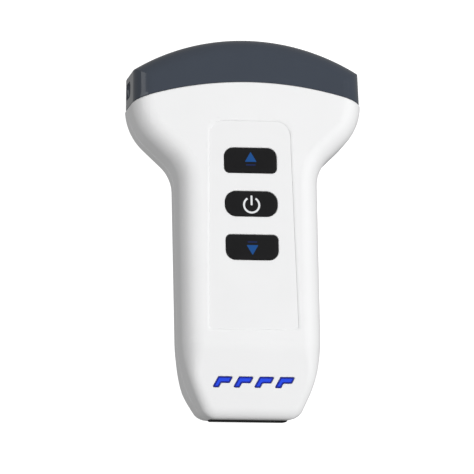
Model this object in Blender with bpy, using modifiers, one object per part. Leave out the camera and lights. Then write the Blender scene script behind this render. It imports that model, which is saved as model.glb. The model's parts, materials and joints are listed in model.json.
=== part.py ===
"""A handheld wireless ultrasound scanner with a curved transducer, as separate pieces.

Metres, +Z up. The scanner lies on its back: its keys face +Z, its transducer points to +Y, and the origin is
under the middle of its length and width, on the flat back.
"""

import functools
import math

import bmesh
import bpy
from mathutils import Matrix, Vector

MM = 0.001

# Casing outline
LENGTH = 120 * MM
THICKNESS = 24 * MM
HEAD_WIDTH = 71.5 * MM
HEAD_FLARE = 0.6 * MM
HANDLE_WIDTH = 43.6 * MM
TAIL_WIDTH = 29 * MM
NOSE_RADIUS = 67.5 * MM
HEAD_CORNER_ROUND = 1.2 * MM
SHOULDER_ROUND = 17.5 * MM
WAIST_ROUND = 11.3 * MM
TAIL_SWEEP = 46 * MM
TAIL_CORNER_ROUND = 5 * MM
SIDE_TO_TOP = 10 * MM
SHOULDER_TO_TOP = 27.6 * MM
WAIST_TO_TOP = 41.5 * MM
SWEEP_TO_TAIL = 15.2 * MM

# Casing section
EDGE_ROUND = 6 * MM
TAIL_EDGE_ROUND = 3 * MM
FACET_LENGTH = 22 * MM
FACET_ANGLE = math.radians(12)
UNDERCUT_LENGTH = 10 * MM
UNDERCUT_ANGLE = math.radians(8)
FRONT_WALL = 3 * MM
SIDE_WALL = 2 * MM
BACK_WALL = 2 * MM
END_WALL = 5.6 * MM
BACK_DEPTH = 10 * MM
GAP = 0.3 * MM
LEAST_ROUND = 0.2 * MM

# Seals between the casing halves and behind the nose
SEAL_THICKNESS = 0.6 * MM
SEAL_WIDTH = 1 * MM
SEAL_INSET = 0.5 * MM
SEAL_FIT = 0.1 * MM

# Transducer nose and its stack, outside in
NOSE_LINE_TO_TOP = 14.7 * MM
NOSE_LINE_RADIUS = 110.5 * MM
NOSE_INSET = 0.3 * MM
NECK_LENGTH = 7 * MM
NECK_WALL = 1.5 * MM
LENS_THICKNESS = 1.8 * MM
LENS_WIDTH = 13 * MM
LENS_HALF_ANGLE = math.radians(26)
LENS_EDGE = 0.5 * MM
MATCHING_THICKNESS = 0.6 * MM
PIEZO_THICKNESS = 0.8 * MM
BACKING_THICKNESS = 8 * MM
STACK_MARGIN = 0.3 * MM
FLEX_WIDTH = 26 * MM
FLEX_THICKNESS = 0.3 * MM
MARKER_TO_TOP = 15.1 * MM
MARKER_HEIGHT = 10 * MM
MARKER_SIZE = (5.2 * MM, 7.6 * MM)
MARKER_DEPTH = 1.2 * MM
MARKER_ROUND = 1.8 * MM

# Control panel and keys
PANEL_TO_TOP = 27.1 * MM
PANEL_TO_TAIL = 27 * MM
PANEL_TOP_WIDTH = 25.4 * MM
PANEL_END_WIDTH = 28.2 * MM
PANEL_TOP_ROUND = 4.5 * MM
PANEL_END_ROUND = 1.2 * MM
PANEL_THICKNESS = 1.2 * MM
PANEL_RECESS = 0.3 * MM
BUTTON_WIDTH = 16.3 * MM
BUTTON_HEIGHT = 7.8 * MM
BUTTON_SPACE = 5.95 * MM
BUTTON_TO_PANEL_TOP = 12.5 * MM
BUTTON_PROUD = 0.5 * MM
BUTTON_EDGE = 0.35 * MM
BUTTON_TRAVEL = 0.4 * MM
BUTTON_ROUNDS = {"up": (2.8 * MM, 1.5 * MM), "power": (3.4 * MM, 3.4 * MM), "down": (1.5 * MM, 2.9 * MM)}
FLANGE_MARGIN = 1 * MM
FLANGE_THICKNESS = 0.8 * MM
POST_RADIUS = 1.5 * MM
POST_LENGTH = 0.5 * MM

# Key board, its switches and its lamps
KEY_BOARD_DROP = 4.6 * MM
KEY_BOARD_THICKNESS = 1 * MM
KEY_BOARD_WIDTH = 24.4 * MM
KEY_BOARD_TO_TOP = 31 * MM
KEY_BOARD_TO_TAIL = 6.5 * MM
SWITCH_SIDE = 6 * MM
SWITCH_HEIGHT = 1.8 * MM
PLUNGER_RADIUS = 1.6 * MM
PLUNGER_HEIGHT = 1.1 * MM
KEY_SCREW_SPREAD = 8.5 * MM
KEY_SCREW_TO_PANEL_END = 7.2 * MM
KEY_POST_RADIUS = 1.8 * MM
LAMP_SIZE = (2.2 * MM, 1.2 * MM, 0.5 * MM)
WINDOW_TO_TAIL = 10.8 * MM
WINDOW_PITCH = 6.5 * MM
WINDOW_COUNT = 4
WINDOW_LENGTH = 6.3 * MM
WINDOW_HEIGHT = 3.3 * MM
WINDOW_BAR = 1.9 * MM
WINDOW_LEG = 1.9 * MM
WINDOW_SLANT = math.radians(28.6)
WINDOW_ROUND = 0.45 * MM

# Main board and what it carries
BATTERY_THICKNESS = 5.6 * MM
BATTERY_MARGIN = 6.3 * MM
BATTERY_TO_TOP = 38 * MM
BATTERY_TO_TAIL = 22 * MM
BATTERY_EDGE = 1 * MM
CHASSIS_THICKNESS = 1 * MM
STANDOFF_HEIGHT = 1.5 * MM
STANDOFF_RADIUS = 2.2 * MM
BOARD_THICKNESS = 1.2 * MM
BOARD_SIDE_SPACE = 1.8 * MM
BOARD_TO_TOP = 36 * MM
BOARD_TO_TAIL = 6.2 * MM
BOARD_NECK_LENGTH = 14 * MM
BOARD_NECK_WIDTH = 24.4 * MM
BOARD_SCREW_TO_EDGE = 1.8 * MM
BOARD_SCREW_TO_END = 4 * MM
CHIP_HEIGHT = 1.2 * MM
SHIELD_HEIGHT = 2.2 * MM
SHIELD_WALL = 0.4 * MM
CONNECTOR_HEIGHT = 2.2 * MM
CONNECTOR_TO_SCREW = 2.5 * MM
PORT_SIZE = (8.9 * MM, 7.2 * MM, 3.2 * MM)
PORT_WALL = 0.35 * MM

# Case screws
HEAD_SCREW_TO_SIDE = 11.25 * MM
HEAD_SCREW_TO_TOP = 29 * MM
TAIL_SCREW_TO_SIDE = 6.4 * MM
TAIL_SCREW_TO_TAIL = 16 * MM
CASE_BOSS_RADIUS = 2.8 * MM
CASE_SCREW_SINK = 1.2 * MM

# Port cover, in the frame of the slanted end face
COVER_WIDTH = 24 * MM
COVER_HEIGHT = 6 * MM
COVER_PROUD = 0.5 * MM
COVER_THICKNESS = 1.5 * MM
COVER_RAISE = 1.6 * MM
COVER_EDGE = 0.4 * MM
TONGUE_WIDTH = 14 * MM
TONGUE_INSET = 0.2 * MM
HINGE_DEPTH = 1.2 * MM
HINGE_RADIUS = 1.1 * MM
HINGE_HEIGHT = 4.9 * MM
PIN_RADIUS = 0.45 * MM
PIN_LENGTH = 20 * MM
PIN_FIT = 0.15 * MM

# Screws: head radius, head height, shank radius, shank length
CASE_SCREW = (1.9 * MM, 1.5 * MM, 1 * MM, 13.8 * MM)
BOARD_SCREW = (1.7 * MM, 1.3 * MM, 0.8 * MM, 7.5 * MM)
KEY_SCREW = (1.5 * MM, 1.2 * MM, 0.8 * MM, 4.2 * MM)

# Facets on round shapes
NOSE_STEPS = 6
CORNER_STEPS = 4
EDGE_STEPS = 4
ROUND_STEPS = 16

# Places that follow from the sizes above, stacked up from the back of the casing to its front
CHASSIS_Z = BACK_WALL + GAP + BATTERY_THICKNESS + GAP
BOARD_Z = CHASSIS_Z + CHASSIS_THICKNESS + STANDOFF_HEIGHT + GAP
BOARD_TOP_Z = BOARD_Z + BOARD_THICKNESS
CEILING_Z = THICKNESS - FRONT_WALL
KEY_BOARD_Z = CEILING_Z - KEY_BOARD_DROP
TOP_Y = LENGTH / 2
TAIL_Y = -LENGTH / 2
MID_Z = THICKNESS / 2
FACET_Y = TAIL_Y + FACET_LENGTH
FACET_DROP = FACET_LENGTH * math.tan(FACET_ANGLE)
TAIL_SIDE_Z = THICKNESS - TAIL_EDGE_ROUND
END_TOP_Z = TAIL_SIDE_Z - FACET_DROP * (TAIL_SIDE_Z - BACK_DEPTH) / (THICKNESS - BACK_DEPTH)
HALF_SEAM = SEAL_THICKNESS / 2 + SEAL_FIT
NOSE_GAP = SEAL_THICKNESS + 2 * SEAL_FIT
NOSE_CENTRE_Y = TOP_Y - NOSE_RADIUS
PANEL_Z = THICKNESS - PANEL_RECESS
PANEL_TOP_Y = TOP_Y - PANEL_TO_TOP
PANEL_END_Y = TAIL_Y + PANEL_TO_TAIL
FIRST_BUTTON_Y = PANEL_TOP_Y - BUTTON_TO_PANEL_TOP
BUTTON_PITCH = BUTTON_HEIGHT + BUTTON_SPACE
BUTTON_Y = {kind: FIRST_BUTTON_Y - row * BUTTON_PITCH for row, kind in enumerate(BUTTON_ROUNDS)}
KEY_BOARD_TOP_Y = TOP_Y - KEY_BOARD_TO_TOP
KEY_BOARD_TAIL_Y = TAIL_Y + KEY_BOARD_TO_TAIL
KEY_SCREW_Y = ((BUTTON_Y["up"] + BUTTON_Y["power"]) / 2, PANEL_END_Y + KEY_SCREW_TO_PANEL_END)
WINDOW_Y = TAIL_Y + WINDOW_TO_TAIL
WINDOW_Z = THICKNESS - (FACET_Y - WINDOW_Y) * math.tan(FACET_ANGLE)
LAMP_TOP_Z = KEY_BOARD_Z + GAP + LAMP_SIZE[2]
BOARD_TOP_Y = TOP_Y - BOARD_TO_TOP
BOARD_TAIL_Y = TAIL_Y + BOARD_TO_TAIL
BOARD_NECK_Y = BOARD_TAIL_Y + BOARD_NECK_LENGTH
BOARD_HALF_WIDTH = HANDLE_WIDTH / 2 - SIDE_WALL - BOARD_SIDE_SPACE
BATTERY_HALF_WIDTH = BOARD_HALF_WIDTH + BOARD_SIDE_SPACE - BATTERY_MARGIN
BOARD_SCREW_X = BOARD_HALF_WIDTH - BOARD_SCREW_TO_EDGE
BOARD_SCREW_Y = (BOARD_TOP_Y - BOARD_SCREW_TO_END, BOARD_NECK_Y + BOARD_SCREW_TO_END)
CASE_SCREW_PLACES = (
    (HEAD_WIDTH / 2 - HEAD_SCREW_TO_SIDE, TOP_Y - HEAD_SCREW_TO_TOP),
    (HANDLE_WIDTH / 2 - TAIL_SCREW_TO_SIDE, TAIL_Y + TAIL_SCREW_TO_TAIL),
)
PORT_Z = BOARD_Z - GAP - PORT_SIZE[2] / 2


# ---------------------------------------------------------------- outlines


def arc(centre, radius, start, end, steps):
    """Points of an arc. Its angles count clockwise from +Y."""
    points = []
    for step in range(steps + 1):
        angle = start + (end - start) * step / steps
        points.append(centre + radius * Vector((math.sin(angle), math.cos(angle))))
    return points


def turn_at(before, corner, after):
    """The angle by which a path turns at a corner, positive to the left."""
    arriving = corner - before
    leaving = after - corner
    return math.atan2(arriving.x * leaving.y - arriving.y * leaving.x, arriving.dot(leaving))


def fillet(before, corner, after, radius):
    """The arc that rounds one corner of a path."""
    arriving = (corner - before).normalized()
    turn = turn_at(before, corner, after)
    start = corner - arriving * radius * math.tan(abs(turn) / 2)
    centre = start + Vector((-arriving.y, arriving.x)) * math.copysign(radius, turn)
    spoke = start - centre
    turns = [turn * step / CORNER_STEPS for step in range(CORNER_STEPS + 1)]
    return [centre + Matrix.Rotation(turned, 2) @ spoke for turned in turns]


def moved_in(before, corner, after, inset):
    """A corner of a clockwise outline after both its edges move inwards."""
    arriving = (corner - before).normalized()
    leaving = (after - corner).normalized()
    inward = Vector((arriving.y + leaving.y, -arriving.x - leaving.x))
    return corner + inward * inset / (1 + arriving.dot(leaving))


def neighbours(items):
    """Each item of a closed list with the one before it and the one after it."""
    return zip(items[-1:] + items[:-1], items, items[1:] + items[:1])


def rounded_polygon(corners, rounds, inset=0.0):
    """Points of a clockwise polygon with its corners rounded and its edges moved inwards by inset."""
    places = [moved_in(*three, inset) for three in neighbours(corners)]
    turns = [turn_at(*three) for three in neighbours(corners)]
    points = []
    for three, turn, radius in zip(neighbours(places), turns, rounds):
        points += fillet(*three, max(radius + math.copysign(inset, turn), LEAST_ROUND))
    return points


def rounded_rectangle(width, height, rounds, inset=0.0):
    """A rectangle about the origin. rounds holds the radius of its top corners and of its bottom corners."""
    x, y = width / 2, height / 2
    corners = [Vector(place) for place in ((-x, y), (x, y), (x, -y), (-x, -y))]
    return rounded_polygon(corners, (rounds[0], rounds[0], rounds[1], rounds[1]), inset)


def mirrored(points):
    """A right half-outline, top to bottom, closed by its own mirror image."""
    left = [Vector((-point.x, point.y)) for point in reversed(points) if point.x > LEAST_ROUND / 10]
    return points + left


@functools.lru_cache(maxsize=None)
def casing_outline(inset):
    """The casing seen from the front, moved inwards by inset, clockwise from the middle of the nose."""
    side = Vector((HEAD_WIDTH / 2, TOP_Y - SIDE_TO_TOP))
    shoulder = Vector((HEAD_WIDTH / 2 + HEAD_FLARE, TOP_Y - SHOULDER_TO_TOP))
    waist = Vector((HANDLE_WIDTH / 2, TOP_Y - WAIST_TO_TOP))
    sweep = Vector((HANDLE_WIDTH / 2, TAIL_Y + SWEEP_TO_TAIL))
    end = Vector((TAIL_WIDTH / 2, TAIL_Y))
    across = Vector((-TAIL_WIDTH / 2, TAIL_Y))

    # The head's corner is an arc that touches both the nose arc and the side.
    corner_round = max(HEAD_CORNER_ROUND - inset, LEAST_ROUND)
    down = (shoulder - side).normalized()
    inward = Vector((down.y, -down.x))
    centre = Vector((0, NOSE_CENTRE_Y))
    start = side + inward * (inset + corner_round) - centre
    reach = NOSE_RADIUS - inset - corner_round
    along = start.dot(down)
    hub = start - down * (along + math.sqrt(along**2 - start.dot(start) + reach**2))
    nose_end = math.atan2(hub.x, hub.y)
    side_end = math.atan2(-inward.x, -inward.y)
    points = arc(centre, NOSE_RADIUS - inset, 0, nose_end, NOSE_STEPS)
    points += arc(centre + hub, corner_round, nose_end, side_end, CORNER_STEPS)[1:]

    corners = [side, shoulder, waist, sweep, end, across]
    rounds = (SHOULDER_ROUND, WAIST_ROUND, TAIL_SWEEP, TAIL_CORNER_ROUND)
    triples = [corners[i : i + 3] for i in range(4)]
    places = [side + inward * inset] + [moved_in(*three, inset) for three in triples]
    places.append(Vector((-places[-1].x, places[-1].y)))
    for i, radius in enumerate(rounds):
        grown = radius + math.copysign(inset, turn_at(*triples[i]))
        points += fillet(*places[i : i + 3], max(grown, LEAST_ROUND))
    return mirrored(points)


# ---------------------------------------------------------------- objects


def collection(name):
    made = bpy.data.collections.new(name)
    bpy.context.scene.collection.children.link(made)
    return made


def clear_scene():
    for obj in list(bpy.data.objects):
        bpy.data.objects.remove(obj, do_unlink=True)


clear_scene()
PARTS = collection("ultrasound_scanner")
CUTTERS = collection("cutters")


def placed(name, mesh, location=(0, 0, 0), parent=None):
    """A new object in the parts collection."""
    obj = bpy.data.objects.new(name, mesh)
    PARTS.objects.link(obj)
    obj.location = location
    obj.parent = parent
    return obj


def frame(name, location, tilt=0.0):
    """An empty that pieces are parented to, turned about X by tilt."""
    empty = placed(name, None, location)
    empty.rotation_euler.x = tilt
    return empty


def finish(obj, colour, roughness=0.5, metallic=0.0):
    """Gives an object a material of its own."""
    material = bpy.data.materials.new(obj.name)
    material.use_nodes = True
    shader = material.node_tree.nodes["Principled BSDF"]
    shader.inputs["Base Color"].default_value = (*colour, 1)
    shader.inputs["Roughness"].default_value = roughness
    shader.inputs["Metallic"].default_value = metallic
    obj.data.materials.clear()
    obj.data.materials.append(material)
    return obj


def mesh_from(shape, name):
    """A mesh from a bmesh, with its faces turned outwards."""
    bmesh.ops.recalc_face_normals(shape, faces=shape.faces)
    mesh = bpy.data.meshes.new(name)
    shape.to_mesh(mesh)
    shape.free()
    return mesh


def smooth(obj):
    """Shades the round faces smooth and keeps the edges between flat ones."""
    obj.data.shade_smooth()
    obj.data.set_sharp_from_angle(angle=math.radians(30))
    return obj


def made_mesh(obj):
    """Turns a curve, or a mesh with modifiers, into a plain mesh object of the same name and place."""
    name = obj.name
    bpy.context.view_layer.update()
    mesh = bpy.data.meshes.new_from_object(obj.evaluated_get(bpy.context.evaluated_depsgraph_get()))
    location, parent = obj.location.copy(), obj.parent
    bpy.data.objects.remove(obj)
    shape = bmesh.new()
    shape.from_mesh(mesh)
    bmesh.ops.remove_doubles(shape, verts=shape.verts, dist=GAP / 1000)
    bpy.data.meshes.remove(mesh)
    return placed(name, mesh_from(shape, name), location, parent)


def plate(name, outlines, low, high, parent=None):
    """A flat solid between two heights: the first outline filled, with the others cut out of it as holes."""
    curve = bpy.data.curves.new(name, "CURVE")
    curve.dimensions = "2D"
    curve.fill_mode = "BOTH"
    curve.extrude = (high - low) / 2
    for outline in outlines:
        spline = curve.splines.new("POLY")
        spline.points.add(len(outline) - 1)
        spline.use_cyclic_u = True
        for target, point in zip(spline.points, outline):
            target.co = (point.x, point.y, 0, 1)
    return made_mesh(placed(name, curve, (0, 0, (low + high) / 2), parent))


def block(name, size, centre, parent=None):
    """A box of the given size about its centre."""
    shape = bmesh.new()
    bmesh.ops.create_cube(shape, size=1, matrix=Matrix.Diagonal((*size, 1)))
    return placed(name, mesh_from(shape, name), centre, parent)


def cylinder(name, radius, length, centre, axis="Z", parent=None, steps=ROUND_STEPS):
    """A cylinder about its centre, along Z or along X."""
    turn = Matrix.Rotation(math.pi / 2, 4, "Y") if axis == "X" else Matrix.Identity(4)
    shape = bmesh.new()
    bmesh.ops.create_cone(
        shape, cap_ends=True, segments=steps, radius1=radius, radius2=radius, depth=length, matrix=turn
    )
    return placed(name, mesh_from(shape, name), centre, parent)


def bevel(obj, width, steps=2):
    """Rounds the sharp edges of an object."""
    modifier = obj.modifiers.new("rounded edges", "BEVEL")
    modifier.width = width
    modifier.segments = steps
    modifier.limit_method = "ANGLE"
    modifier.angle_limit = math.radians(60)
    return obj


def combine(obj, other, operation="DIFFERENCE"):
    """Cuts other out of obj, joins it on, or keeps what the two share."""
    modifier = obj.modifiers.new(other.name, "BOOLEAN")
    modifier.operation = operation
    modifier.solver = "EXACT"
    modifier.object = other
    if other.name not in CUTTERS.objects:
        PARTS.objects.unlink(other)
        CUTTERS.objects.link(other)
    other.hide_render = True
    other.display_type = "WIRE"
    return obj


# ---------------------------------------------------------------- casing forms


def blend(low, high, value):
    """0 below low and 1 above high, with an even curve between."""
    share = min(max((value - low) / (high - low), 0), 1)
    return share * share * (3 - 2 * share)


def edge_round(y):
    """The casing's edges are rounder along the body than along the sloped tail."""
    tail = 1 - blend(TAIL_Y + UNDERCUT_LENGTH, FACET_Y, y)
    return EDGE_ROUND + (TAIL_EDGE_ROUND - EDGE_ROUND) * tail


def tail_shape(point):
    """Slopes the front face down towards the tail and leans the end face in under it."""
    x, y, z = point
    above = min(max((z - BACK_DEPTH) / (THICKNESS - BACK_DEPTH), 0), 1)
    z -= max(FACET_Y - y, 0) * math.tan(FACET_ANGLE) * above
    near_end = min(max((TAIL_Y + UNDERCUT_LENGTH - y) / UNDERCUT_LENGTH, 0), 1)
    y += max(END_TOP_Z - z, 0) * math.tan(UNDERCUT_ANGLE) * near_end
    return Vector((x, y, z))


def keep_beyond(shape, place, normal):
    """Cuts away what lies behind a plane, and closes the cut."""
    geometry = shape.verts[:] + shape.edges[:] + shape.faces[:]
    cut = bmesh.ops.bisect_plane(shape, geom=geometry, plane_co=place, plane_no=normal, clear_inner=True)
    edges = [item for item in cut["geom_cut"] if isinstance(item, bmesh.types.BMEdge)]
    bmesh.ops.holes_fill(shape, edges=edges)


def casing_form(name, side, front, back, planes=()):
    """The casing as one solid with its walls moved inwards, cut by planes given as (place, normal)."""
    outer = casing_outline(0.0)
    rounds = [max(edge_round(point.y) - side, LEAST_ROUND) for point in outer]
    angles = [math.pi / 2 * step / EDGE_STEPS for step in range(EDGE_STEPS + 1)]
    levels = [(back, 1, angle) for angle in angles]
    levels += [(THICKNESS - front, -1, angle) for angle in reversed(angles)]
    shape = bmesh.new()
    rings = []
    for face_z, inwards, angle in levels:
        ring = []
        for i, radius in enumerate(rounds):
            point = casing_outline(side + radius * (1 - math.sin(angle)))[i]
            z = face_z + inwards * radius * (1 - math.cos(angle))
            ring.append(shape.verts.new((point.x, point.y, z)))
        rings.append(ring)
    for lower, upper in zip(rings, rings[1:]):
        for i in range(len(lower)):
            shape.faces.new((lower[i - 1], lower[i], upper[i], upper[i - 1]))
    shape.faces.new(rings[0])
    shape.faces.new(rings[-1])
    geometry = shape.verts[:] + shape.edges[:] + shape.faces[:]
    bmesh.ops.bisect_plane(shape, geom=geometry, plane_co=(0, FACET_Y, 0), plane_no=(0, 1, 0))
    for vertex in shape.verts:
        vertex.co = tail_shape(vertex.co)
    # The side faces between unlike rings aren't flat, so each becomes two triangles.
    bmesh.ops.triangulate(shape, faces=[face for face in shape.faces if len(face.verts) == 4])
    for place, normal in planes:
        keep_beyond(shape, place, normal)
    return placed(name, mesh_from(shape, name))


def beyond_nose_line(name, offset):
    """A block that holds everything on the nose's side of the line between nose and casing."""
    centre = Vector((0, TOP_Y - NOSE_LINE_TO_TOP - NOSE_LINE_RADIUS))
    spread = math.asin(HEAD_WIDTH / NOSE_LINE_RADIUS)
    points = arc(centre, NOSE_LINE_RADIUS + offset, -spread, spread, 4 * NOSE_STEPS)
    far = TOP_Y + NOSE_LINE_TO_TOP
    points += [Vector((points[-1].x, far)), Vector((points[0].x, far))]
    return plate(name, [points], -THICKNESS, 2 * THICKNESS)


def nose_band(name, outer, thickness, half_angle, half_width):
    """A strip that follows the nose's arc, centred in the casing's thickness."""
    centre = Vector((0, NOSE_CENTRE_Y))
    points = arc(centre, outer, -half_angle, half_angle, 2 * NOSE_STEPS)
    points += arc(centre, outer - thickness, half_angle, -half_angle, 2 * NOSE_STEPS)
    return plate(name, [points], MID_Z - half_width, MID_Z + half_width)


# ---------------------------------------------------------------- fasteners


def turned(name, profile, location=(0, 0, 0)):
    """A solid of revolution about Z. The profile runs down its outer side as (radius, height)."""
    mesh = bpy.data.meshes.new(name)
    edges = [(i, i + 1) for i in range(len(profile) - 1)]
    mesh.from_pydata([(radius, 0, height) for radius, height in profile], edges, [])
    obj = placed(name, mesh, location)
    modifier = obj.modifiers.new("turned", "SCREW")
    modifier.steps = modifier.render_steps = ROUND_STEPS
    modifier.use_merge_vertices = True
    modifier.merge_threshold = GAP / 1000
    return obj


def screws(prefix, sizes, places, z, facing):
    """Identical screws with the underside of each head at z.

    facing is 1 for heads upwards and -1 for heads downwards.
    """
    head_radius, head_height, shank_radius, shank_length = sizes
    profile = [
        (0, head_height),
        (head_radius, head_height),
        (head_radius, 0),
        (shank_radius, 0),
        (shank_radius, -shank_length),
        (0, -shank_length),
    ]
    first = turned(prefix + "_pattern", profile)
    socket = cylinder(prefix + "_socket", head_radius / 2, head_height, (0, 0, head_height), steps=6)
    first = made_mesh(combine(first, socket))
    smooth(first)
    for number, (x, y) in enumerate(places, 1):
        screw = placed(f"{prefix}_{number}", first.data.copy(), (x, y, z))
        screw.rotation_euler.x = 0 if facing > 0 else math.pi
        finish(screw, (0.55, 0.56, 0.58), 0.35, 1)
    bpy.data.objects.remove(first)


def both_sides(places):
    """Each place and its mirror image across the middle."""
    return [(side * x, y) for x, y in places for side in (1, -1)]


def bosses(name, places, radius, low, high):
    """Round posts at each place, as separate cylinders in a list."""
    length = high - low
    middle = (low + high) / 2
    return [cylinder(f"{name}_{i}", radius, length, (x, y, middle)) for i, (x, y) in enumerate(places, 1)]


# ---------------------------------------------------------------- shared cutters

beyond_nose = beyond_nose_line("beyond_nose", 0.0)
beyond_seal = beyond_nose_line("beyond_seal", NOSE_GAP)
cavity = casing_form(
    "cavity", SIDE_WALL, FRONT_WALL, BACK_WALL, [((0, TAIL_Y + END_WALL, 0), (0, 1, 0))]
)
facet_frame = frame("facet_frame", (0, WINDOW_Y, WINDOW_Z), FACET_ANGLE)
hinge_y = TAIL_Y + (END_TOP_Z - HINGE_HEIGHT) * math.tan(UNDERCUT_ANGLE)
hinge_y += HINGE_DEPTH / math.cos(UNDERCUT_ANGLE)
# In this frame Z runs up the end face and Y runs into it, from the hinge's axis.
hinge_frame = frame("hinge_frame", (0, hinge_y, HINGE_HEIGHT), UNDERCUT_ANGLE)


def window_outline(number, inset):
    """A slanted bracket: a bar with a leg down its left end."""
    middle = (number - (WINDOW_COUNT + 1) / 2) * WINDOW_PITCH
    lean = math.tan(WINDOW_SLANT)
    top = WINDOW_HEIGHT / 2
    under = top - WINDOW_BAR
    left = middle - (WINDOW_LENGTH - WINDOW_HEIGHT * lean) / 2
    right = left + WINDOW_LENGTH - WINDOW_HEIGHT * lean
    heights = ((left, top), (right, top), (right, under), (left + WINDOW_LEG, under))
    feet = ((left + WINDOW_LEG, -top), (left, -top))
    corners = [Vector((x + y * lean, y)) for x, y in heights + feet]
    return rounded_polygon(corners, [WINDOW_ROUND] * len(corners), inset)


def cover_recess():
    """The recess of the port cover, with the deeper pocket that its hinge turns in."""
    deep = COVER_THICKNESS - COVER_PROUD + GAP - HINGE_DEPTH
    outside = HINGE_DEPTH + 4 * COVER_PROUD
    recess = block(
        "cover_recess",
        (COVER_WIDTH + 2 * GAP, outside + deep, COVER_HEIGHT + 2 * GAP),
        (0, (deep - outside) / 2, COVER_RAISE + COVER_HEIGHT / 2),
        hinge_frame,
    )
    pocket_deep = HINGE_RADIUS + GAP
    low = -(HINGE_RADIUS + 2 * GAP)
    high = COVER_RAISE + GAP
    pocket = block(
        "hinge_pocket",
        (TONGUE_WIDTH + 2 * GAP, outside + GAP + pocket_deep, high - low),
        (0, (pocket_deep - outside - GAP) / 2, (low + high) / 2),
        hinge_frame,
    )
    pin_hole = cylinder(
        "pin_hole", PIN_RADIUS + PIN_FIT, PIN_LENGTH + 2 * GAP, (0, 0, 0), "X", hinge_frame
    )
    return [recess, pocket, pin_hole]


def port_opening():
    """The way through the end wall for the charging port."""
    width, depth, height = PORT_SIZE
    size = (width + 2 * GAP, 2 * END_WALL, height + 2 * GAP)
    return block("port_opening", size, (0, TAIL_Y + END_WALL, PORT_Z))


def tail_space():
    """All that is cut out of the tail's end, as one solid."""
    space, pocket, pin_hole = cover_recess()
    for other in (pocket, pin_hole, port_opening()):
        combine(space, other, "UNION")
    return made_mesh(space)


tail_cut = tail_space()


# ---------------------------------------------------------------- casing


def shell(name, plane):
    """One half of the casing, hollow, cut off at the nose line and at the joint line."""
    half = casing_form(name, 0.0, 0.0, 0.0, [plane])
    for cutter in (tail_cut, beyond_nose, cavity):
        combine(half, cutter)
    return half


def panel_outline(inset):
    """The control panel, which widens towards the tail."""
    top, end = PANEL_TOP_WIDTH / 2, PANEL_END_WIDTH / 2
    corners = ((-top, PANEL_TOP_Y), (top, PANEL_TOP_Y), (end, PANEL_END_Y), (-end, PANEL_END_Y))
    rounds = (PANEL_TOP_ROUND, PANEL_TOP_ROUND, PANEL_END_ROUND, PANEL_END_ROUND)
    return rounded_polygon([Vector(corner) for corner in corners], rounds, inset)


def button_outline(kind, inset):
    """A key's outline in the casing's place."""
    points = rounded_rectangle(BUTTON_WIDTH, BUTTON_HEIGHT, BUTTON_ROUNDS[kind], inset)
    return [point + Vector((0, BUTTON_Y[kind])) for point in points]


def key_posts():
    return both_sides([(KEY_SCREW_SPREAD, y) for y in KEY_SCREW_Y])


def front_shell():
    seam = BACK_DEPTH + HALF_SEAM
    front = shell("front_shell", ((0, 0, seam), (0, 0, 1)))
    over = CEILING_Z + FRONT_WALL / 4
    for boss in bosses("front_boss", both_sides(CASE_SCREW_PLACES), CASE_BOSS_RADIUS, seam + GAP, over):
        combine(front, boss, "UNION")
    for post in bosses("key_post", key_posts(), KEY_POST_RADIUS, KEY_BOARD_Z + GAP, over):
        combine(front, post, "UNION")
    shank = CASE_SCREW[2] + GAP
    reach = CASE_SCREW_SINK + CASE_SCREW[1] + CASE_SCREW[3] + GAP
    for hole in bosses("front_pilot", both_sides(CASE_SCREW_PLACES), shank, 0, reach):
        combine(front, hole)
    reach = KEY_BOARD_Z - KEY_BOARD_THICKNESS - GAP + KEY_SCREW[3] + GAP
    for hole in bosses("key_pilot", key_posts(), KEY_SCREW[2] + GAP, KEY_BOARD_Z, reach):
        combine(front, hole)
    floor = PANEL_Z - PANEL_THICKNESS - GAP
    combine(front, plate("panel_pocket", [panel_outline(-GAP)], floor, 2 * THICKNESS))
    for kind in BUTTON_ROUNDS:
        outline = button_outline(kind, -GAP)
        combine(front, plate("key_opening_" + kind, [outline], CEILING_Z - GAP, floor + GAP))
    for number in range(1, WINDOW_COUNT + 1):
        opening = window_outline(number, -GAP)
        combine(front, plate(f"window_opening_{number}", [opening], -4 * MM, 2 * MM, facet_frame))
    finish(front, (0.9, 0.9, 0.9), 0.35)


def back_shell():
    seam = BACK_DEPTH - HALF_SEAM
    back = shell("back_shell", ((0, 0, seam), (0, 0, -1)))
    under = BACK_WALL / 2
    places = both_sides(CASE_SCREW_PLACES)
    for boss in bosses("back_boss", places, CASE_BOSS_RADIUS, under, seam - GAP):
        combine(back, boss, "UNION")
    posts = both_sides([(BOARD_SCREW_X, y) for y in BOARD_SCREW_Y])
    for post in bosses("board_post", posts, STANDOFF_RADIUS, under, CHASSIS_Z - GAP):
        combine(back, post, "UNION")
    top = CASE_SCREW_SINK + CASE_SCREW[1] + GAP
    for hole in bosses("screw_well", places, CASE_SCREW[0] + GAP, -top, top):
        combine(back, hole)
    for hole in bosses("screw_hole", places, CASE_SCREW[2] + GAP, top - GAP, 2 * seam):
        combine(back, hole)
    reach = BOARD_TOP_Z + GAP - BOARD_SCREW[3] - GAP
    for hole in bosses("board_pilot", posts, BOARD_SCREW[2] + GAP, reach, 2 * seam):
        combine(back, hole)
    finish(back, (0.9, 0.9, 0.9), 0.35)


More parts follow.
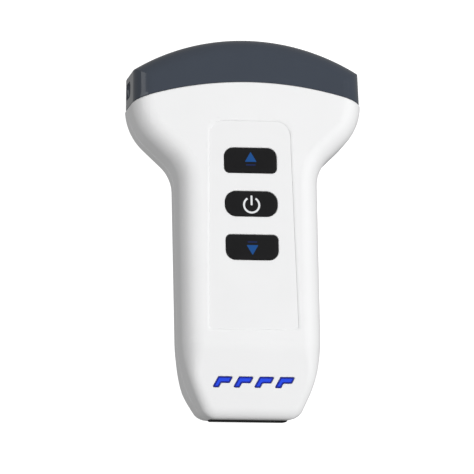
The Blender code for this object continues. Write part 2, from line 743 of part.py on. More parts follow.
def seals():
    """A flat strip along each side of the joint line, and a ring behind the nose."""
    black = (0.05, 0.05, 0.055)
    half = SEAL_THICKNESS / 2
    inner = SEAL_INSET + SEAL_WIDTH
    behind_recess = TAIL_Y + END_WALL - SEAL_WIDTH
    hole = casing_form("seal_hole", inner, inner, inner, [((0, behind_recess, 0), (0, 1, 0))])
    for name, side in (("seam_seal_right", 1), ("seam_seal_left", -1)):
        planes = [
            ((0, 0, BACK_DEPTH - half), (0, 0, 1)),
            ((0, 0, BACK_DEPTH + half), (0, 0, -1)),
            ((side * PORT_SIZE[0] / 4, 0, 0), (side, 0, 0)),
        ]
        seal = casing_form(name, SEAL_INSET, SEAL_INSET, SEAL_INSET, planes)
        combine(seal, hole)
        combine(seal, beyond_nose)
        combine(seal, tail_cut)
        finish(seal, black, 0.8)

    ring = casing_form("nose_seal", SEAL_INSET + NOSE_INSET, SEAL_INSET + NOSE_INSET, SEAL_INSET + NOSE_INSET)
    combine(ring, beyond_nose_line("seal_back", SEAL_FIT), "INTERSECT")
    combine(ring, beyond_nose_line("seal_front", SEAL_FIT + SEAL_THICKNESS))
    combine(ring, hole)
    finish(ring, black, 0.8)


# ---------------------------------------------------------------- transducer nose


def nose_housing():
    skin = casing_form("nose_housing", NOSE_INSET, NOSE_INSET, NOSE_INSET)
    combine(skin, beyond_seal, "INTERSECT")
    neck = casing_form("neck", SIDE_WALL + GAP, FRONT_WALL + GAP, BACK_WALL + GAP)
    combine(neck, beyond_nose_line("neck_end", -NECK_LENGTH), "INTERSECT")
    combine(skin, made_mesh(neck), "UNION")
    wall = GAP + NECK_WALL
    combine(skin, casing_form("nose_bore", SIDE_WALL + wall, FRONT_WALL + wall, BACK_WALL + wall))
    window = nose_band(
        "lens_window",
        NOSE_RADIUS + 2 * NOSE_INSET,
        LENGTH / 10,
        LENS_HALF_ANGLE + GAP / NOSE_RADIUS,
        LENS_WIDTH / 2 + GAP,
    )
    combine(skin, window)
    height, breadth = MARKER_SIZE
    for side in (1, -1):
        size = (4 * MARKER_DEPTH, height, breadth)
        x = side * (HEAD_WIDTH / 2 - NOSE_INSET + MARKER_DEPTH)
        slot = block("marker_slot", size, (x, TOP_Y - MARKER_TO_TOP, MARKER_HEIGHT))
        combine(skin, bevel(slot, MARKER_ROUND))
    finish(skin, (0.06, 0.07, 0.09), 0.2)


def transducer_stack():
    """Lens, matching layer, piezo array and backing, each a strip along the nose's arc."""
    lens = nose_band("acoustic_lens", NOSE_RADIUS, LENS_THICKNESS, LENS_HALF_ANGLE, LENS_WIDTH / 2)
    finish(bevel(lens, LENS_EDGE), (0.3, 0.32, 0.34), 0.6)
    layers = (
        ("matching_layer", MATCHING_THICKNESS, (0.12, 0.1, 0.08), 0.5, 0),
        ("piezo_array", PIEZO_THICKNESS, (0.6, 0.52, 0.3), 0.4, 0.6),
        ("backing_block", BACKING_THICKNESS, (0.1, 0.1, 0.1), 0.8, 0),
    )
    outer = NOSE_RADIUS - LENS_THICKNESS - GAP
    half_width = LENS_WIDTH / 2
    for name, thickness, colour, roughness, metallic in layers:
        half_width -= STACK_MARGIN
        layer = nose_band(name, outer, thickness, LENS_HALF_ANGLE - STACK_MARGIN / outer, half_width)
        finish(layer, colour, roughness, metallic)
        outer -= thickness + GAP
    return outer + GAP


def ribbon(name, path, width, thickness):
    """A flat strip of even thickness along a path of (y, z) points, centred on X."""
    shape = bmesh.new()
    rows = [[shape.verts.new((side * width / 2, y, z)) for side in (-1, 1)] for y, z in path]
    for (a, b), (c, d) in zip(rows, rows[1:]):
        shape.faces.new((a, b, d, c))
    strip = placed(name, mesh_from(shape, name))
    modifier = strip.modifiers.new("thickness", "SOLIDIFY")
    modifier.thickness = thickness
    modifier.offset = 0
    return strip


def array_flex(backing_inner):
    """The flex from the back of the transducer to its connector on the main board."""
    edge = math.sqrt(backing_inner**2 - (FLEX_WIDTH / 2) ** 2)
    start = NOSE_CENTRE_Y + edge - GAP
    connector_z = BOARD_TOP_Z + GAP + CONNECTOR_HEIGHT / 2
    end = BOARD_TOP_Y - GAP
    third = (start - end) / 3
    path = [(start, MID_Z), (start - third, MID_Z), (end + third, connector_z), (end, connector_z)]
    finish(ribbon("array_flex", path, FLEX_WIDTH, FLEX_THICKNESS), (0.55, 0.3, 0.08), 0.4)


# ---------------------------------------------------------------- keys


def control_panel():
    openings = [button_outline(kind, -GAP) for kind in BUTTON_ROUNDS]
    panel = plate("control_panel", [panel_outline(0.0)] + openings, PANEL_Z - PANEL_THICKNESS, PANEL_Z)
    finish(panel, (0.86, 0.86, 0.86), 0.4)


def key(kind):
    """A key with its flange and post, the plunger that it presses, and the switch body around that."""
    y = BUTTON_Y[kind]
    axis = frame(f"button_{kind}_axis", (0, y, 0))
    flange_top = CEILING_Z - GAP
    flange_low = flange_top - FLANGE_THICKNESS
    top = PANEL_Z + BUTTON_PROUD
    outline = functools.partial(rounded_rectangle, BUTTON_WIDTH, BUTTON_HEIGHT, BUTTON_ROUNDS[kind])
    cap = plate(f"button_{kind}", [outline()], flange_low + FLANGE_THICKNESS / 2, top, axis)
    bevel(cap, BUTTON_EDGE)
    combine(cap, plate(f"flange_{kind}", [outline(-FLANGE_MARGIN)], flange_low, flange_top, axis), "UNION")
    post = cylinder(f"post_{kind}", POST_RADIUS, 2 * POST_LENGTH, (0, 0, flange_low), parent=axis)
    combine(cap, post, "UNION")
    finish(cap, (0.02, 0.02, 0.022), 0.45)

    plunger_z = flange_low - POST_LENGTH - GAP - PLUNGER_HEIGHT / 2
    plunger = cylinder(f"switch_plunger_{kind}", PLUNGER_RADIUS, PLUNGER_HEIGHT, (0, 0, plunger_z), parent=axis)
    finish(smooth(plunger), (0.9, 0.88, 0.8), 0.5)

    body_z = KEY_BOARD_Z + GAP + SWITCH_HEIGHT / 2
    body = block(f"key_switch_{kind}", (SWITCH_SIDE, SWITCH_SIDE, SWITCH_HEIGHT), (0, y, body_z))
    well_low = plunger_z - PLUNGER_HEIGHT / 2 - BUTTON_TRAVEL - GAP
    well = cylinder(f"switch_well_{kind}", PLUNGER_RADIUS + GAP, THICKNESS, (0, y, well_low + THICKNESS / 2))
    finish(combine(body, well), (0.08, 0.08, 0.08), 0.5)


def notch_board(board, low, high):
    """Cuts a board back where it would reach a case screw's boss."""
    places = both_sides(CASE_SCREW_PLACES[1:])
    for notch in bosses(board.name + "_notch", places, CASE_BOSS_RADIUS + GAP, low, high):
        combine(board, notch)


def key_board():
    half = KEY_BOARD_WIDTH / 2
    middle = (KEY_BOARD_TOP_Y + KEY_BOARD_TAIL_Y) / 2
    size = (2 * half, KEY_BOARD_TOP_Y - KEY_BOARD_TAIL_Y, KEY_BOARD_THICKNESS)
    board = block("key_board", size, (0, middle, KEY_BOARD_Z - KEY_BOARD_THICKNESS / 2))
    low = KEY_BOARD_Z - 2 * KEY_BOARD_THICKNESS
    for hole in bosses("key_board_hole", key_posts(), KEY_SCREW[2] + GAP, low, CEILING_Z):
        combine(board, hole)
    notch_board(board, low, CEILING_Z)
    finish(board, (0.03, 0.2, 0.08), 0.4)
    screws("key_board_screw", KEY_SCREW, key_posts(), KEY_BOARD_Z - KEY_BOARD_THICKNESS - GAP, -1)


def windows():
    """Light guides in the slanted facet, each over its own lamp on the key board."""
    slope = WINDOW_HEIGHT / 2 * math.tan(FACET_ANGLE)
    depth = (WINDOW_Z - LAMP_TOP_Z - GAP) / math.cos(FACET_ANGLE) - slope
    for number in range(1, WINDOW_COUNT + 1):
        guide = plate(f"led_window_{number}", [window_outline(number, 0.0)], -depth, 0, facet_frame)
        finish(guide, (0.02, 0.08, 0.6), 0.25)
        x = (number - (WINDOW_COUNT + 1) / 2) * WINDOW_PITCH
        place = (x, WINDOW_Y + depth * math.sin(FACET_ANGLE), LAMP_TOP_Z - LAMP_SIZE[2] / 2)
        finish(block(f"status_lamp_{number}", LAMP_SIZE, place), (0.85, 0.85, 0.75), 0.3)


# ---------------------------------------------------------------- main board


def main_board():
    """The board is wide over the battery and narrow behind it, between the tail screws."""
    middle_z = BOARD_Z + BOARD_THICKNESS / 2
    wide_size = (2 * BOARD_HALF_WIDTH, BOARD_TOP_Y - BOARD_NECK_Y, BOARD_THICKNESS)
    board = block("main_board", wide_size, (0, (BOARD_TOP_Y + BOARD_NECK_Y) / 2, middle_z))
    neck_size = (BOARD_NECK_WIDTH, BOARD_NECK_LENGTH + BOARD_SCREW_TO_END, BOARD_THICKNESS)
    neck = block("board_neck", neck_size, (0, BOARD_TAIL_Y + neck_size[1] / 2, middle_z))
    combine(board, neck, "UNION")
    posts = both_sides([(BOARD_SCREW_X, y) for y in BOARD_SCREW_Y])
    for hole in bosses("board_hole", posts, BOARD_SCREW[2] + GAP, CHASSIS_Z, 2 * BOARD_TOP_Z):
        combine(board, hole)
    notch_board(board, CHASSIS_Z, 2 * BOARD_TOP_Z)
    finish(board, (0.02, 0.22, 0.09), 0.4)
    screws("board_screw", BOARD_SCREW, posts, BOARD_TOP_Z + GAP, 1)


def chassis():
    """A metal plate over the battery with four raised pads that carry the main board."""
    length = BOARD_TOP_Y - BOARD_NECK_Y
    middle = (BOARD_TOP_Y + BOARD_NECK_Y) / 2
    size = (2 * BOARD_HALF_WIDTH, length, CHASSIS_THICKNESS)
    tray = block("chassis", size, (0, middle, CHASSIS_Z + CHASSIS_THICKNESS / 2))
    top = CHASSIS_Z + CHASSIS_THICKNESS + STANDOFF_HEIGHT
    pad_radius = min(STANDOFF_RADIUS, BOARD_SCREW_TO_EDGE - GAP / 2)
    posts = both_sides([(BOARD_SCREW_X, y) for y in BOARD_SCREW_Y])
    for pad in bosses("chassis_pad", posts, pad_radius, CHASSIS_Z + CHASSIS_THICKNESS / 2, top):
        combine(tray, pad, "UNION")
    for hole in bosses("chassis_hole", posts, BOARD_SCREW[2] + GAP, 0, THICKNESS):
        combine(tray, hole)
    finish(tray, (0.7, 0.71, 0.72), 0.4, 1)


def board_parts():
    """What is soldered to the main board, each with its size, place and surface."""
    dark = (0.03, 0.03, 0.035)
    silver = (0.75, 0.75, 0.76)
    between = KEY_BOARD_Z - KEY_BOARD_THICKNESS - BOARD_TOP_Z - 2 * GAP
    connector_y = BOARD_TOP_Y - 3 * MM
    connector_width = 2 * (BOARD_SCREW_X - BOARD_SCREW[0] - CONNECTOR_TO_SCREW)
    pieces = (
        ("flex_connector", (connector_width, 4.5 * MM, CONNECTOR_HEIGHT), connector_y, (0.8, 0.78, 0.7), 0.5, 0),
        ("front_end_chip", (12 * MM, 9 * MM, CHIP_HEIGHT), BOARD_TOP_Y - 20.5 * MM, dark, 0.4, 0),
        ("processor_chip", (12 * MM, 12 * MM, CHIP_HEIGHT), BOARD_TOP_Y - 36 * MM, dark, 0.4, 0),
        ("board_connector", (9 * MM, 4 * MM, between), KEY_SCREW_Y[1], (0.8, 0.78, 0.7), 0.5, 0),
        ("radio_module", (13 * MM, 9 * MM, 1.8 * MM), BOARD_NECK_Y + 5 * MM, silver, 0.3, 1),
        ("antenna", (9 * MM, 3 * MM, 1 * MM), BOARD_TAIL_Y + 3 * MM, (0.85, 0.85, 0.8), 0.5, 0),
    )
    for name, size, y, colour, roughness, metallic in pieces:
        chip = block(name, size, (0, y, BOARD_TOP_Z + GAP + size[2] / 2))
        finish(chip, colour, roughness, metallic)


def shield_can():
    """A thin can over the front-end chip, open towards the board."""
    y = BOARD_TOP_Y - 20.5 * MM
    size = (18 * MM, 14 * MM, SHIELD_HEIGHT)
    middle_z = BOARD_TOP_Z + GAP + SHIELD_HEIGHT / 2
    can = block("shield_can", size, (0, y, middle_z))
    inside = (size[0] - 2 * SHIELD_WALL, size[1] - 2 * SHIELD_WALL, SHIELD_HEIGHT)
    hollow = block("shield_hollow", inside, (0, y, middle_z - SHIELD_WALL))
    finish(combine(can, hollow), (0.75, 0.75, 0.76), 0.3, 1)


def charging_port():
    """A receptacle on the underside of the main board, open through the end wall."""
    width, depth, height = PORT_SIZE
    floor = TAIL_Y + (END_TOP_Z - PORT_Z) * math.tan(UNDERCUT_ANGLE) + COVER_THICKNESS - COVER_PROUD + GAP
    mouth = floor + 2 * GAP
    body = block("charging_port", PORT_SIZE, (0, mouth + depth / 2, PORT_Z))
    hollow = block(
        "port_hollow",
        (width - 2 * PORT_WALL, depth, height - 2 * PORT_WALL),
        (0, mouth + depth / 2 - 2 * PORT_WALL, PORT_Z),
    )
    finish(combine(body, hollow), (0.6, 0.6, 0.62), 0.3, 1)


def battery():
    top_y, tail_y = TOP_Y - BATTERY_TO_TOP, TAIL_Y + BATTERY_TO_TAIL
    size = (2 * BATTERY_HALF_WIDTH, top_y - tail_y, BATTERY_THICKNESS)
    cell_z = BACK_WALL + GAP + BATTERY_THICKNESS / 2
    cell = block("battery", size, (0, (top_y + tail_y) / 2, cell_z))
    finish(bevel(cell, BATTERY_EDGE), (0.25, 0.27, 0.3), 0.4, 0.3)
    plug_size = (6 * MM, 4 * MM, 2 * MM)
    plug_y = tail_y - 7 * MM
    plug_z = BOARD_Z - GAP - plug_size[2] / 2
    finish(block("battery_connector", plug_size, (0, plug_y, plug_z)), (0.85, 0.84, 0.78), 0.5)
    start, end = tail_y - GAP, plug_y + plug_size[1] / 2 + GAP
    middle = (start + end) / 2
    path = [(start, cell_z), (middle, cell_z), (middle - GAP, plug_z), (end, plug_z)]
    finish(ribbon("battery_lead", path, 4 * MM, 0.6 * MM), (0.3, 0.02, 0.02), 0.5)


# ---------------------------------------------------------------- port cover


def port_cover():
    """A cover over the charging port that swings out and down about the pin at its lower edge."""
    outer = -HINGE_DEPTH - COVER_PROUD
    size = (COVER_WIDTH, COVER_THICKNESS, COVER_HEIGHT)
    centre = (0, outer + COVER_THICKNESS / 2, COVER_RAISE + COVER_HEIGHT / 2)
    cover = bevel(block("port_cover", size, centre, hinge_frame), COVER_EDGE)
    front, back = TONGUE_INSET - HINGE_DEPTH, outer + COVER_THICKNESS - GAP / 6
    height = COVER_RAISE + COVER_HEIGHT / 4
    tongue = block(
        "tongue", (TONGUE_WIDTH, back - front, height), (0, (front + back) / 2, height / 2), hinge_frame
    )
    combine(cover, tongue, "UNION")
    combine(cover, cylinder("barrel", HINGE_RADIUS, TONGUE_WIDTH - GAP / 3, (0, 0, 0), "X", hinge_frame), "UNION")
    bore = cylinder("barrel_bore", PIN_RADIUS + PIN_FIT, 2 * TONGUE_WIDTH, (0, 0, 0), "X", hinge_frame)
    finish(combine(cover, bore), (0.012, 0.012, 0.013), 0.7)
    pin = cylinder("cover_hinge_pin", PIN_RADIUS, PIN_LENGTH, (0, 0, 0), "X", hinge_frame)
    finish(smooth(pin), (0.6, 0.6, 0.62), 0.3, 1)


front_shell()
back_shell()
seals()
nose_housing()
array_flex(transducer_stack())
control_panel()
for button_kind in BUTTON_ROUNDS:
    key(button_kind)
key_board()
windows()
main_board()
chassis()
board_parts()
shield_can()
charging_port()
battery()
port_cover()
screws("case_screw", CASE_SCREW, both_sides(CASE_SCREW_PLACES), CASE_SCREW_SINK + CASE_SCREW[1], -1)
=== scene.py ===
"""Looks of the handheld ultrasound scanner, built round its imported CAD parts.

Metres, +Z up. The keys face +Z and the transducer points to +Y, as in the frame.
"""

import functools
import json
import math

import bmesh
import bpy
from mathutils import Matrix, Vector


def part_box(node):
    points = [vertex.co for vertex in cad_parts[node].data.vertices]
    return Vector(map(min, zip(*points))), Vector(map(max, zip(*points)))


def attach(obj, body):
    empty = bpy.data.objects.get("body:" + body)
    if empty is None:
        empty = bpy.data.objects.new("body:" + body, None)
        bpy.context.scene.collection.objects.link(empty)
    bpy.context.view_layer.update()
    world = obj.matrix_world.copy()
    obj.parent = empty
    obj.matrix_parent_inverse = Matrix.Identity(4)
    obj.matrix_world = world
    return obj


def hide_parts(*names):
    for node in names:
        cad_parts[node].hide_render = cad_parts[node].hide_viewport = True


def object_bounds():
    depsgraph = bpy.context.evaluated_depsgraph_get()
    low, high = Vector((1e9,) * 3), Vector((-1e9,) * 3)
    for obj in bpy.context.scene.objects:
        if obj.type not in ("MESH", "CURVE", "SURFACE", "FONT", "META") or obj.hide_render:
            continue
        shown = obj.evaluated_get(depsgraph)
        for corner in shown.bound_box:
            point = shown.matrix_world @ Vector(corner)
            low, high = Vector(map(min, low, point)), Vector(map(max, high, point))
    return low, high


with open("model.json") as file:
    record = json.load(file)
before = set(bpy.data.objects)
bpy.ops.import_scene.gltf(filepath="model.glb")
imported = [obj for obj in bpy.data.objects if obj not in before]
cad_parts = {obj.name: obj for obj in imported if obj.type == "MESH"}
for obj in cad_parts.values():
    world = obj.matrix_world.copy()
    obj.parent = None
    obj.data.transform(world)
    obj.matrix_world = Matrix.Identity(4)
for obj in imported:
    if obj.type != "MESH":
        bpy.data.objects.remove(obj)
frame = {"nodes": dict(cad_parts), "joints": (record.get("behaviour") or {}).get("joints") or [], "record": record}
CAD_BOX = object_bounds()

MM = 0.001

# Places read from the frame
TOP_Y = CAD_BOX[1].y
TAIL_Y = CAD_BOX[0].y
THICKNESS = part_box("front_shell")[1].z
PANEL_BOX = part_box("control_panel")
PANEL_Z = PANEL_BOX[1].z
KEY_TOP_Z = CAD_BOX[1].z
JOINTS = {joint["name"]: joint for joint in frame["joints"]}

# Casing outline, as in the CAD, but for a hair less flare: finer arcs would leave the CAD's box
HEAD_WIDTH = 71.5 * MM
HEAD_FLARE = 0.49 * MM
HANDLE_WIDTH = 43.6 * MM
TAIL_WIDTH = 29 * MM
NOSE_RADIUS = 67.5 * MM
HEAD_CORNER_ROUND = 1.2 * MM
SHOULDER_ROUND = 17.5 * MM
WAIST_ROUND = 11.3 * MM
TAIL_SWEEP = 46 * MM
TAIL_CORNER_ROUND = 5 * MM
SIDE_TO_TOP = 10 * MM
SHOULDER_TO_TOP = 27.6 * MM
WAIST_TO_TOP = 41.5 * MM
SWEEP_TO_TAIL = 15.2 * MM

# Casing section
EDGE_ROUND = 6 * MM
TAIL_EDGE_ROUND = 3 * MM
FACET_LENGTH = 22 * MM
FACET_Y = TAIL_Y + FACET_LENGTH
FACET_ANGLE = math.radians(12)
CREASE = 2 * MM
UNDERCUT_LENGTH = 10 * MM
UNDERCUT_ANGLE = math.radians(8)
SEAM_Z = 10 * MM
FRONT_WALL = 3 * MM
SIDE_WALL = 2 * MM
BACK_WALL = 2 * MM
END_WALL = 5.6 * MM
LEAST_ROUND = 0.2 * MM
TAIL_SIDE_Z = THICKNESS - TAIL_EDGE_ROUND
FACET_DROP = FACET_LENGTH * math.tan(FACET_ANGLE)
END_TOP_Z = TAIL_SIDE_Z - FACET_DROP * (TAIL_SIDE_Z - SEAM_Z) / (THICKNESS - SEAM_Z)

# Nose
NOSE_LINE_RADIUS = 110.5 * MM
NOSE_LINE_TO_TOP = 14.7 * MM
NOSE_LINE_Y = TOP_Y - NOSE_LINE_TO_TOP - NOSE_LINE_RADIUS
NOSE_LINE_REACH = 14 * MM
NOSE_LINE_SPARE = 6 * MM
NOSE_CENTRE_Y = TOP_Y - NOSE_RADIUS
NOSE_INSET = 0.3 * MM
NOSE_WALL = 1.5 * MM
NECK_LENGTH = 7 * MM
NOSE_JOINT_ROUND = 0.2 * MM
LENS_WIDTH = 13 * MM
LENS_THICKNESS = 1.8 * MM
LENS_HALF_ANGLE = math.radians(26)
LENS_CROWN = 0.25 * MM
LENS_EDGE = 0.4 * MM
LENS_SPARE = 0.12 * MM
LENS_WAY_DEPTH = 12 * MM
MARKER_PLACE = Vector((HEAD_WIDTH / 2 - NOSE_INSET + 1.2 * MM, TOP_Y - 15.1 * MM, 10 * MM))
MARKER_HALF = Vector((2.4 * MM, 2.6 * MM, 3.8 * MM))
MARKER_EDGE = 1.6 * MM

# Fine roundings that the CAD leaves out
LIP_ROUND = 0.45 * MM
SEAM_ROUND = 0.18 * MM
HAIRLINE = 0.04 * MM
NOSE_JOINT = 0.1 * MM
GUARD = 0.35 * MM
GAP = 0.3 * MM
SMOOTH_ANGLE = math.radians(35)

# Facets on round shapes
NOSE_STEPS = 26
CORNER_STEPS = 12
EDGE_STEPS = 12
LIP_STEPS = 5
CAVITY_STEPS = 4
LONGEST_STEP = 2.5 * MM
SLICE = 2.4 * MM
CREASE_SLICES = (1, 0.6, 0.2, -0.2, -0.6, -1)


# ---------------------------------------------------------------- outlines


def arc(centre, radius, start, end, steps):
    """Points of an arc. Its angles count clockwise from +Y."""
    angles = [start + (end - start) * step / steps for step in range(steps + 1)]
    return [centre + radius * Vector((math.sin(angle), math.cos(angle))) for angle in angles]


def turn_at(before, corner, after):
    """The angle by which a path turns at a corner, positive to the left."""
    arriving, leaving = corner - before, after - corner
    return math.atan2(arriving.x * leaving.y - arriving.y * leaving.x, arriving.dot(leaving))


def fillet(before, corner, after, radius, steps):
    """The arc that rounds one corner of a path."""
    arriving = (corner - before).normalized()
    turn = turn_at(before, corner, after)
    start = corner - arriving * radius * math.tan(abs(turn) / 2)
    centre = start + Vector((-arriving.y, arriving.x)) * math.copysign(radius, turn)
    spoke = start - centre
    return [centre + Matrix.Rotation(turn * step / steps, 2) @ spoke for step in range(steps + 1)]


def moved_in(before, corner, after, inset):
    """A corner of a clockwise outline after both its edges move inwards."""
    arriving, leaving = (corner - before).normalized(), (after - corner).normalized()
    inward = Vector((arriving.y + leaving.y, -arriving.x - leaving.x))
    return corner + inward * inset / (1 + arriving.dot(leaving))


def neighbours(items):
    """Each item of a closed list with the one before it and the one after it."""
    return zip(items[-1:] + items[:-1], items, items[1:] + items[:1])


def rounded_polygon(corners, rounds, inset, steps):
    """Points of a clockwise polygon with its corners rounded and its edges moved inwards by inset."""
    places = [moved_in(*three, inset) for three in neighbours(corners)]
    turns = [turn_at(*three) for three in neighbours(corners)]
    points = []
    for three, turn, radius in zip(neighbours(places), turns, rounds):
        points += fillet(*three, max(radius + math.copysign(inset, turn), LEAST_ROUND / 4), steps)
    return points


def rectangle(low, high):
    """The corners of a rectangle, clockwise from its upper left."""
    places = ((low.x, high.y), (high.x, high.y), (high.x, low.y), (low.x, low.y))
    return [Vector(place) for place in places]


def half_outline(inset):
    """The right half of the casing seen from the front, moved inwards, from the nose to the tail."""
    side = Vector((HEAD_WIDTH / 2, TOP_Y - SIDE_TO_TOP))
    shoulder = Vector((HEAD_WIDTH / 2 + HEAD_FLARE, TOP_Y - SHOULDER_TO_TOP))
    waist = Vector((HANDLE_WIDTH / 2, TOP_Y - WAIST_TO_TOP))
    sweep = Vector((HANDLE_WIDTH / 2, TAIL_Y + SWEEP_TO_TAIL))
    end = Vector((TAIL_WIDTH / 2, TAIL_Y))
    across = Vector((-TAIL_WIDTH / 2, TAIL_Y))
    corner_round = max(HEAD_CORNER_ROUND - inset, LEAST_ROUND)
    down = (shoulder - side).normalized()
    inward = Vector((down.y, -down.x))
    centre = Vector((0, NOSE_CENTRE_Y))
    start = side + inward * (inset + corner_round) - centre
    reach = NOSE_RADIUS - inset - corner_round
    along = start.dot(down)
    hub = start - down * (along + math.sqrt(along**2 - start.dot(start) + reach**2))
    nose_end = math.atan2(hub.x, hub.y)
    side_end = math.atan2(-inward.x, -inward.y)
    points = arc(centre, NOSE_RADIUS - inset, 0, nose_end, NOSE_STEPS)
    points += arc(centre + hub, corner_round, nose_end, side_end, CORNER_STEPS)[1:]
    corners = [side, shoulder, waist, sweep, end, across]
    triples = [corners[i : i + 3] for i in range(4)]
    places = [side + inward * inset] + [moved_in(*three, inset) for three in triples]
    places.append(Vector((-places[-1].x, places[-1].y)))
    for i, radius in enumerate((SHOULDER_ROUND, WAIST_ROUND, TAIL_SWEEP, TAIL_CORNER_ROUND)):
        grown = radius + math.copysign(inset, turn_at(*triples[i]))
        points += fillet(*places[i : i + 3], max(grown, LEAST_ROUND), CORNER_STEPS)
    return points + [Vector((0, points[-1].y))]


@functools.lru_cache(maxsize=None)
def split_counts():
    """How many parts each segment of the half-outline is divided into, the same at every inset."""
    points = half_outline(0.0)
    return [max(1, math.ceil((b - a).length / LONGEST_STEP)) for a, b in zip(points, points[1:])]


@functools.lru_cache(maxsize=None)
def casing_outline(inset):
    """The whole outline, clockwise from the middle of the nose, in short segments."""
    points = half_outline(inset)
    fine = []
    for a, b, count in zip(points, points[1:], split_counts()):
        fine += [a.lerp(b, step / count) for step in range(count)]
    fine.append(points[-1])
    return fine + [Vector((-point.x, point.y)) for point in reversed(fine[1:-1])]


# ---------------------------------------------------------------- meshes


def mesh_object(name, shape):
    """An object from a bmesh, with its faces turned outwards and its sharp edges kept."""
    bmesh.ops.recalc_face_normals(shape, faces=shape.faces)
    mesh = bpy.data.meshes.new(name)
    shape.to_mesh(mesh)
    shape.free()
    obj = bpy.data.objects.new(name, mesh)
    bpy.context.scene.collection.objects.link(obj)
    mesh.shade_smooth()
    mesh.set_sharp_from_angle(angle=SMOOTH_ANGLE)
    return obj


def rings_shape(rings):
    """A closed bmesh through rings of equally many points, capped at both ends."""
    shape = bmesh.new()
    rows = [[shape.verts.new(point) for point in ring] for ring in rings]
    for lower, upper in zip(rows, rows[1:]):
        for i in range(len(lower)):
            shape.faces.new((lower[i - 1], lower[i], upper[i], upper[i - 1]))
    shape.faces.new(rows[0])
    shape.faces.new(rows[-1])
    return shape


def loft(name, rings, matrix=None):
    shape = rings_shape(rings)
    if matrix is not None:
        shape.transform(matrix)
    return mesh_object(name, shape)


def at_height(outline, z):
    return [Vector((point.x, point.y, z)) for point in outline]


def quarter(steps=LIP_STEPS):
    """(share inwards, share of height) of a rounded edge, from the wall to the top."""
    angles = [math.pi / 2 * step / steps for step in range(steps + 1)]
    return [(1 - math.cos(angle), math.sin(angle)) for angle in angles]


def rounded_prism(name, outline, low, high, edge, crown):
    """A prism over outline(inset), with its top edge rounded and its top raised a little inwards."""
    rings = [at_height(outline(0.0), low)]
    for inwards, rise in quarter():
        rings.append(at_height(outline(edge * inwards), high - crown - edge * (1 - rise)))
    rings.append(at_height(outline(edge + GUARD), high - crown * 0.6))
    rings.append(at_height(outline(edge + 3 * GUARD), high))
    return loft(name, rings)


def flared_cutter(name, outline, low, top, flare, depth, matrix=None):
    """A cutter over outline(inset) that rounds the rim which it leaves at height top."""
    rings = [at_height(outline(0.0), low)]
    for outwards, fall in quarter():
        rings.append(at_height(outline(-flare * outwards), top - depth * (1 - fall)))
    rings.append(at_height(outline(-flare), top + flare))
    return loft(name, rings, matrix)


def cylinder(name, radius, length, matrix, steps, edge=0.0):
    """A cylinder about the matrix's origin, along its Z, with its end edges rounded."""
    half = length / 2
    rows = [(radius, -half), (radius, half)]
    if edge:
        falls = [(radius - edge * inwards, edge * (1 - rise)) for inwards, rise in quarter(3)]
        rows = [(r, fall - half) for r, fall in reversed(falls)]
        rows += [(r, half - fall) for r, fall in falls]
    turns = [2 * math.pi * step / steps for step in range(steps)]
    rings = [[Vector((r * math.sin(a), r * math.cos(a), z)) for a in turns] for r, z in rows]
    return loft(name, rings, matrix)


def box_between(name, low, high, edge=0.0, matrix=None):
    """A box with its edges rounded."""
    shape = bmesh.new()
    size, middle = Vector(high) - Vector(low), (Vector(high) + Vector(low)) / 2
    place = Matrix.Translation(middle) @ Matrix.Diagonal((*size, 1))
    bmesh.ops.create_cube(shape, size=1, matrix=place)
    if edge:
        edges = shape.edges[:]
        bmesh.ops.bevel(shape, geom=edges, offset=edge, segments=4, profile=0.5, affect="EDGES")
    if matrix is not None:
        shape.transform(matrix)
    return mesh_object(name, shape)


def combine(obj, other, operation="DIFFERENCE"):
    """Cuts other out of obj, joins it on, or keeps what they share, and removes other."""
    modifier = obj.modifiers.new("combine", "BOOLEAN")
    modifier.operation = operation
    modifier.solver = "MANIFOLD"
    modifier.object = other
    bpy.context.view_layer.update()
    evaluated = obj.evaluated_get(bpy.context.evaluated_depsgraph_get())
    mesh = bpy.data.meshes.new_from_object(evaluated)
    obj.modifiers.clear()
    obj.data = mesh
    if not mesh.polygons:
        raise ValueError(obj.name + " vanished in a Boolean")
    bpy.data.objects.remove(other)
    return obj


def dressed(obj, *materials):
    """Welds the mesh, keeps its sharp edges, weights its normals and gives it its materials."""
    shape = bmesh.new()
    shape.from_mesh(obj.data)
    bmesh.ops.remove_doubles(shape, verts=shape.verts, dist=GAP / 1000)
    bmesh.ops.dissolve_degenerate(shape, edges=shape.edges, dist=GAP / 1000)
    shape.to_mesh(obj.data)
    shape.free()
    obj.data.shade_smooth()
    obj.data.set_sharp_from_angle(angle=SMOOTH_ANGLE)
    obj.data.materials.clear()
    for material in materials:
        obj.data.materials.append(material)
    weighted = obj.modifiers.new("normals", "WEIGHTED_NORMAL")
    weighted.mode = "FACE_AREA"
    weighted.keep_sharp = True
    return obj


def shown(obj, body, slot, *nodes):
    """Puts a finished piece on its body, in place of its CAD nodes."""
    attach(obj, body)
    if nodes:
        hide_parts(*nodes)
    return obj


# ---------------------------------------------------------------- casing forms


def blend(low, high, value):
    """0 below low and 1 above high, with an even curve between."""
    share = min(max((value - low) / (high - low), 0), 1)
    return share * share * (3 - 2 * share)


def edge_round(y):
    """The casing's edges are rounder along the body than along the sloped tail."""
    tail = 1 - blend(TAIL_Y + UNDERCUT_LENGTH, FACET_Y, y)
    return EDGE_ROUND + (TAIL_EDGE_ROUND - EDGE_ROUND) * tail


def past_crease(y):
    """How far y lies behind the crease of the tail's slope, with the crease itself rounded."""
    behind = FACET_Y - y
    if behind <= -CREASE:
        return 0.0
    return behind if behind >= CREASE else (behind + CREASE) ** 2 / (4 * CREASE)


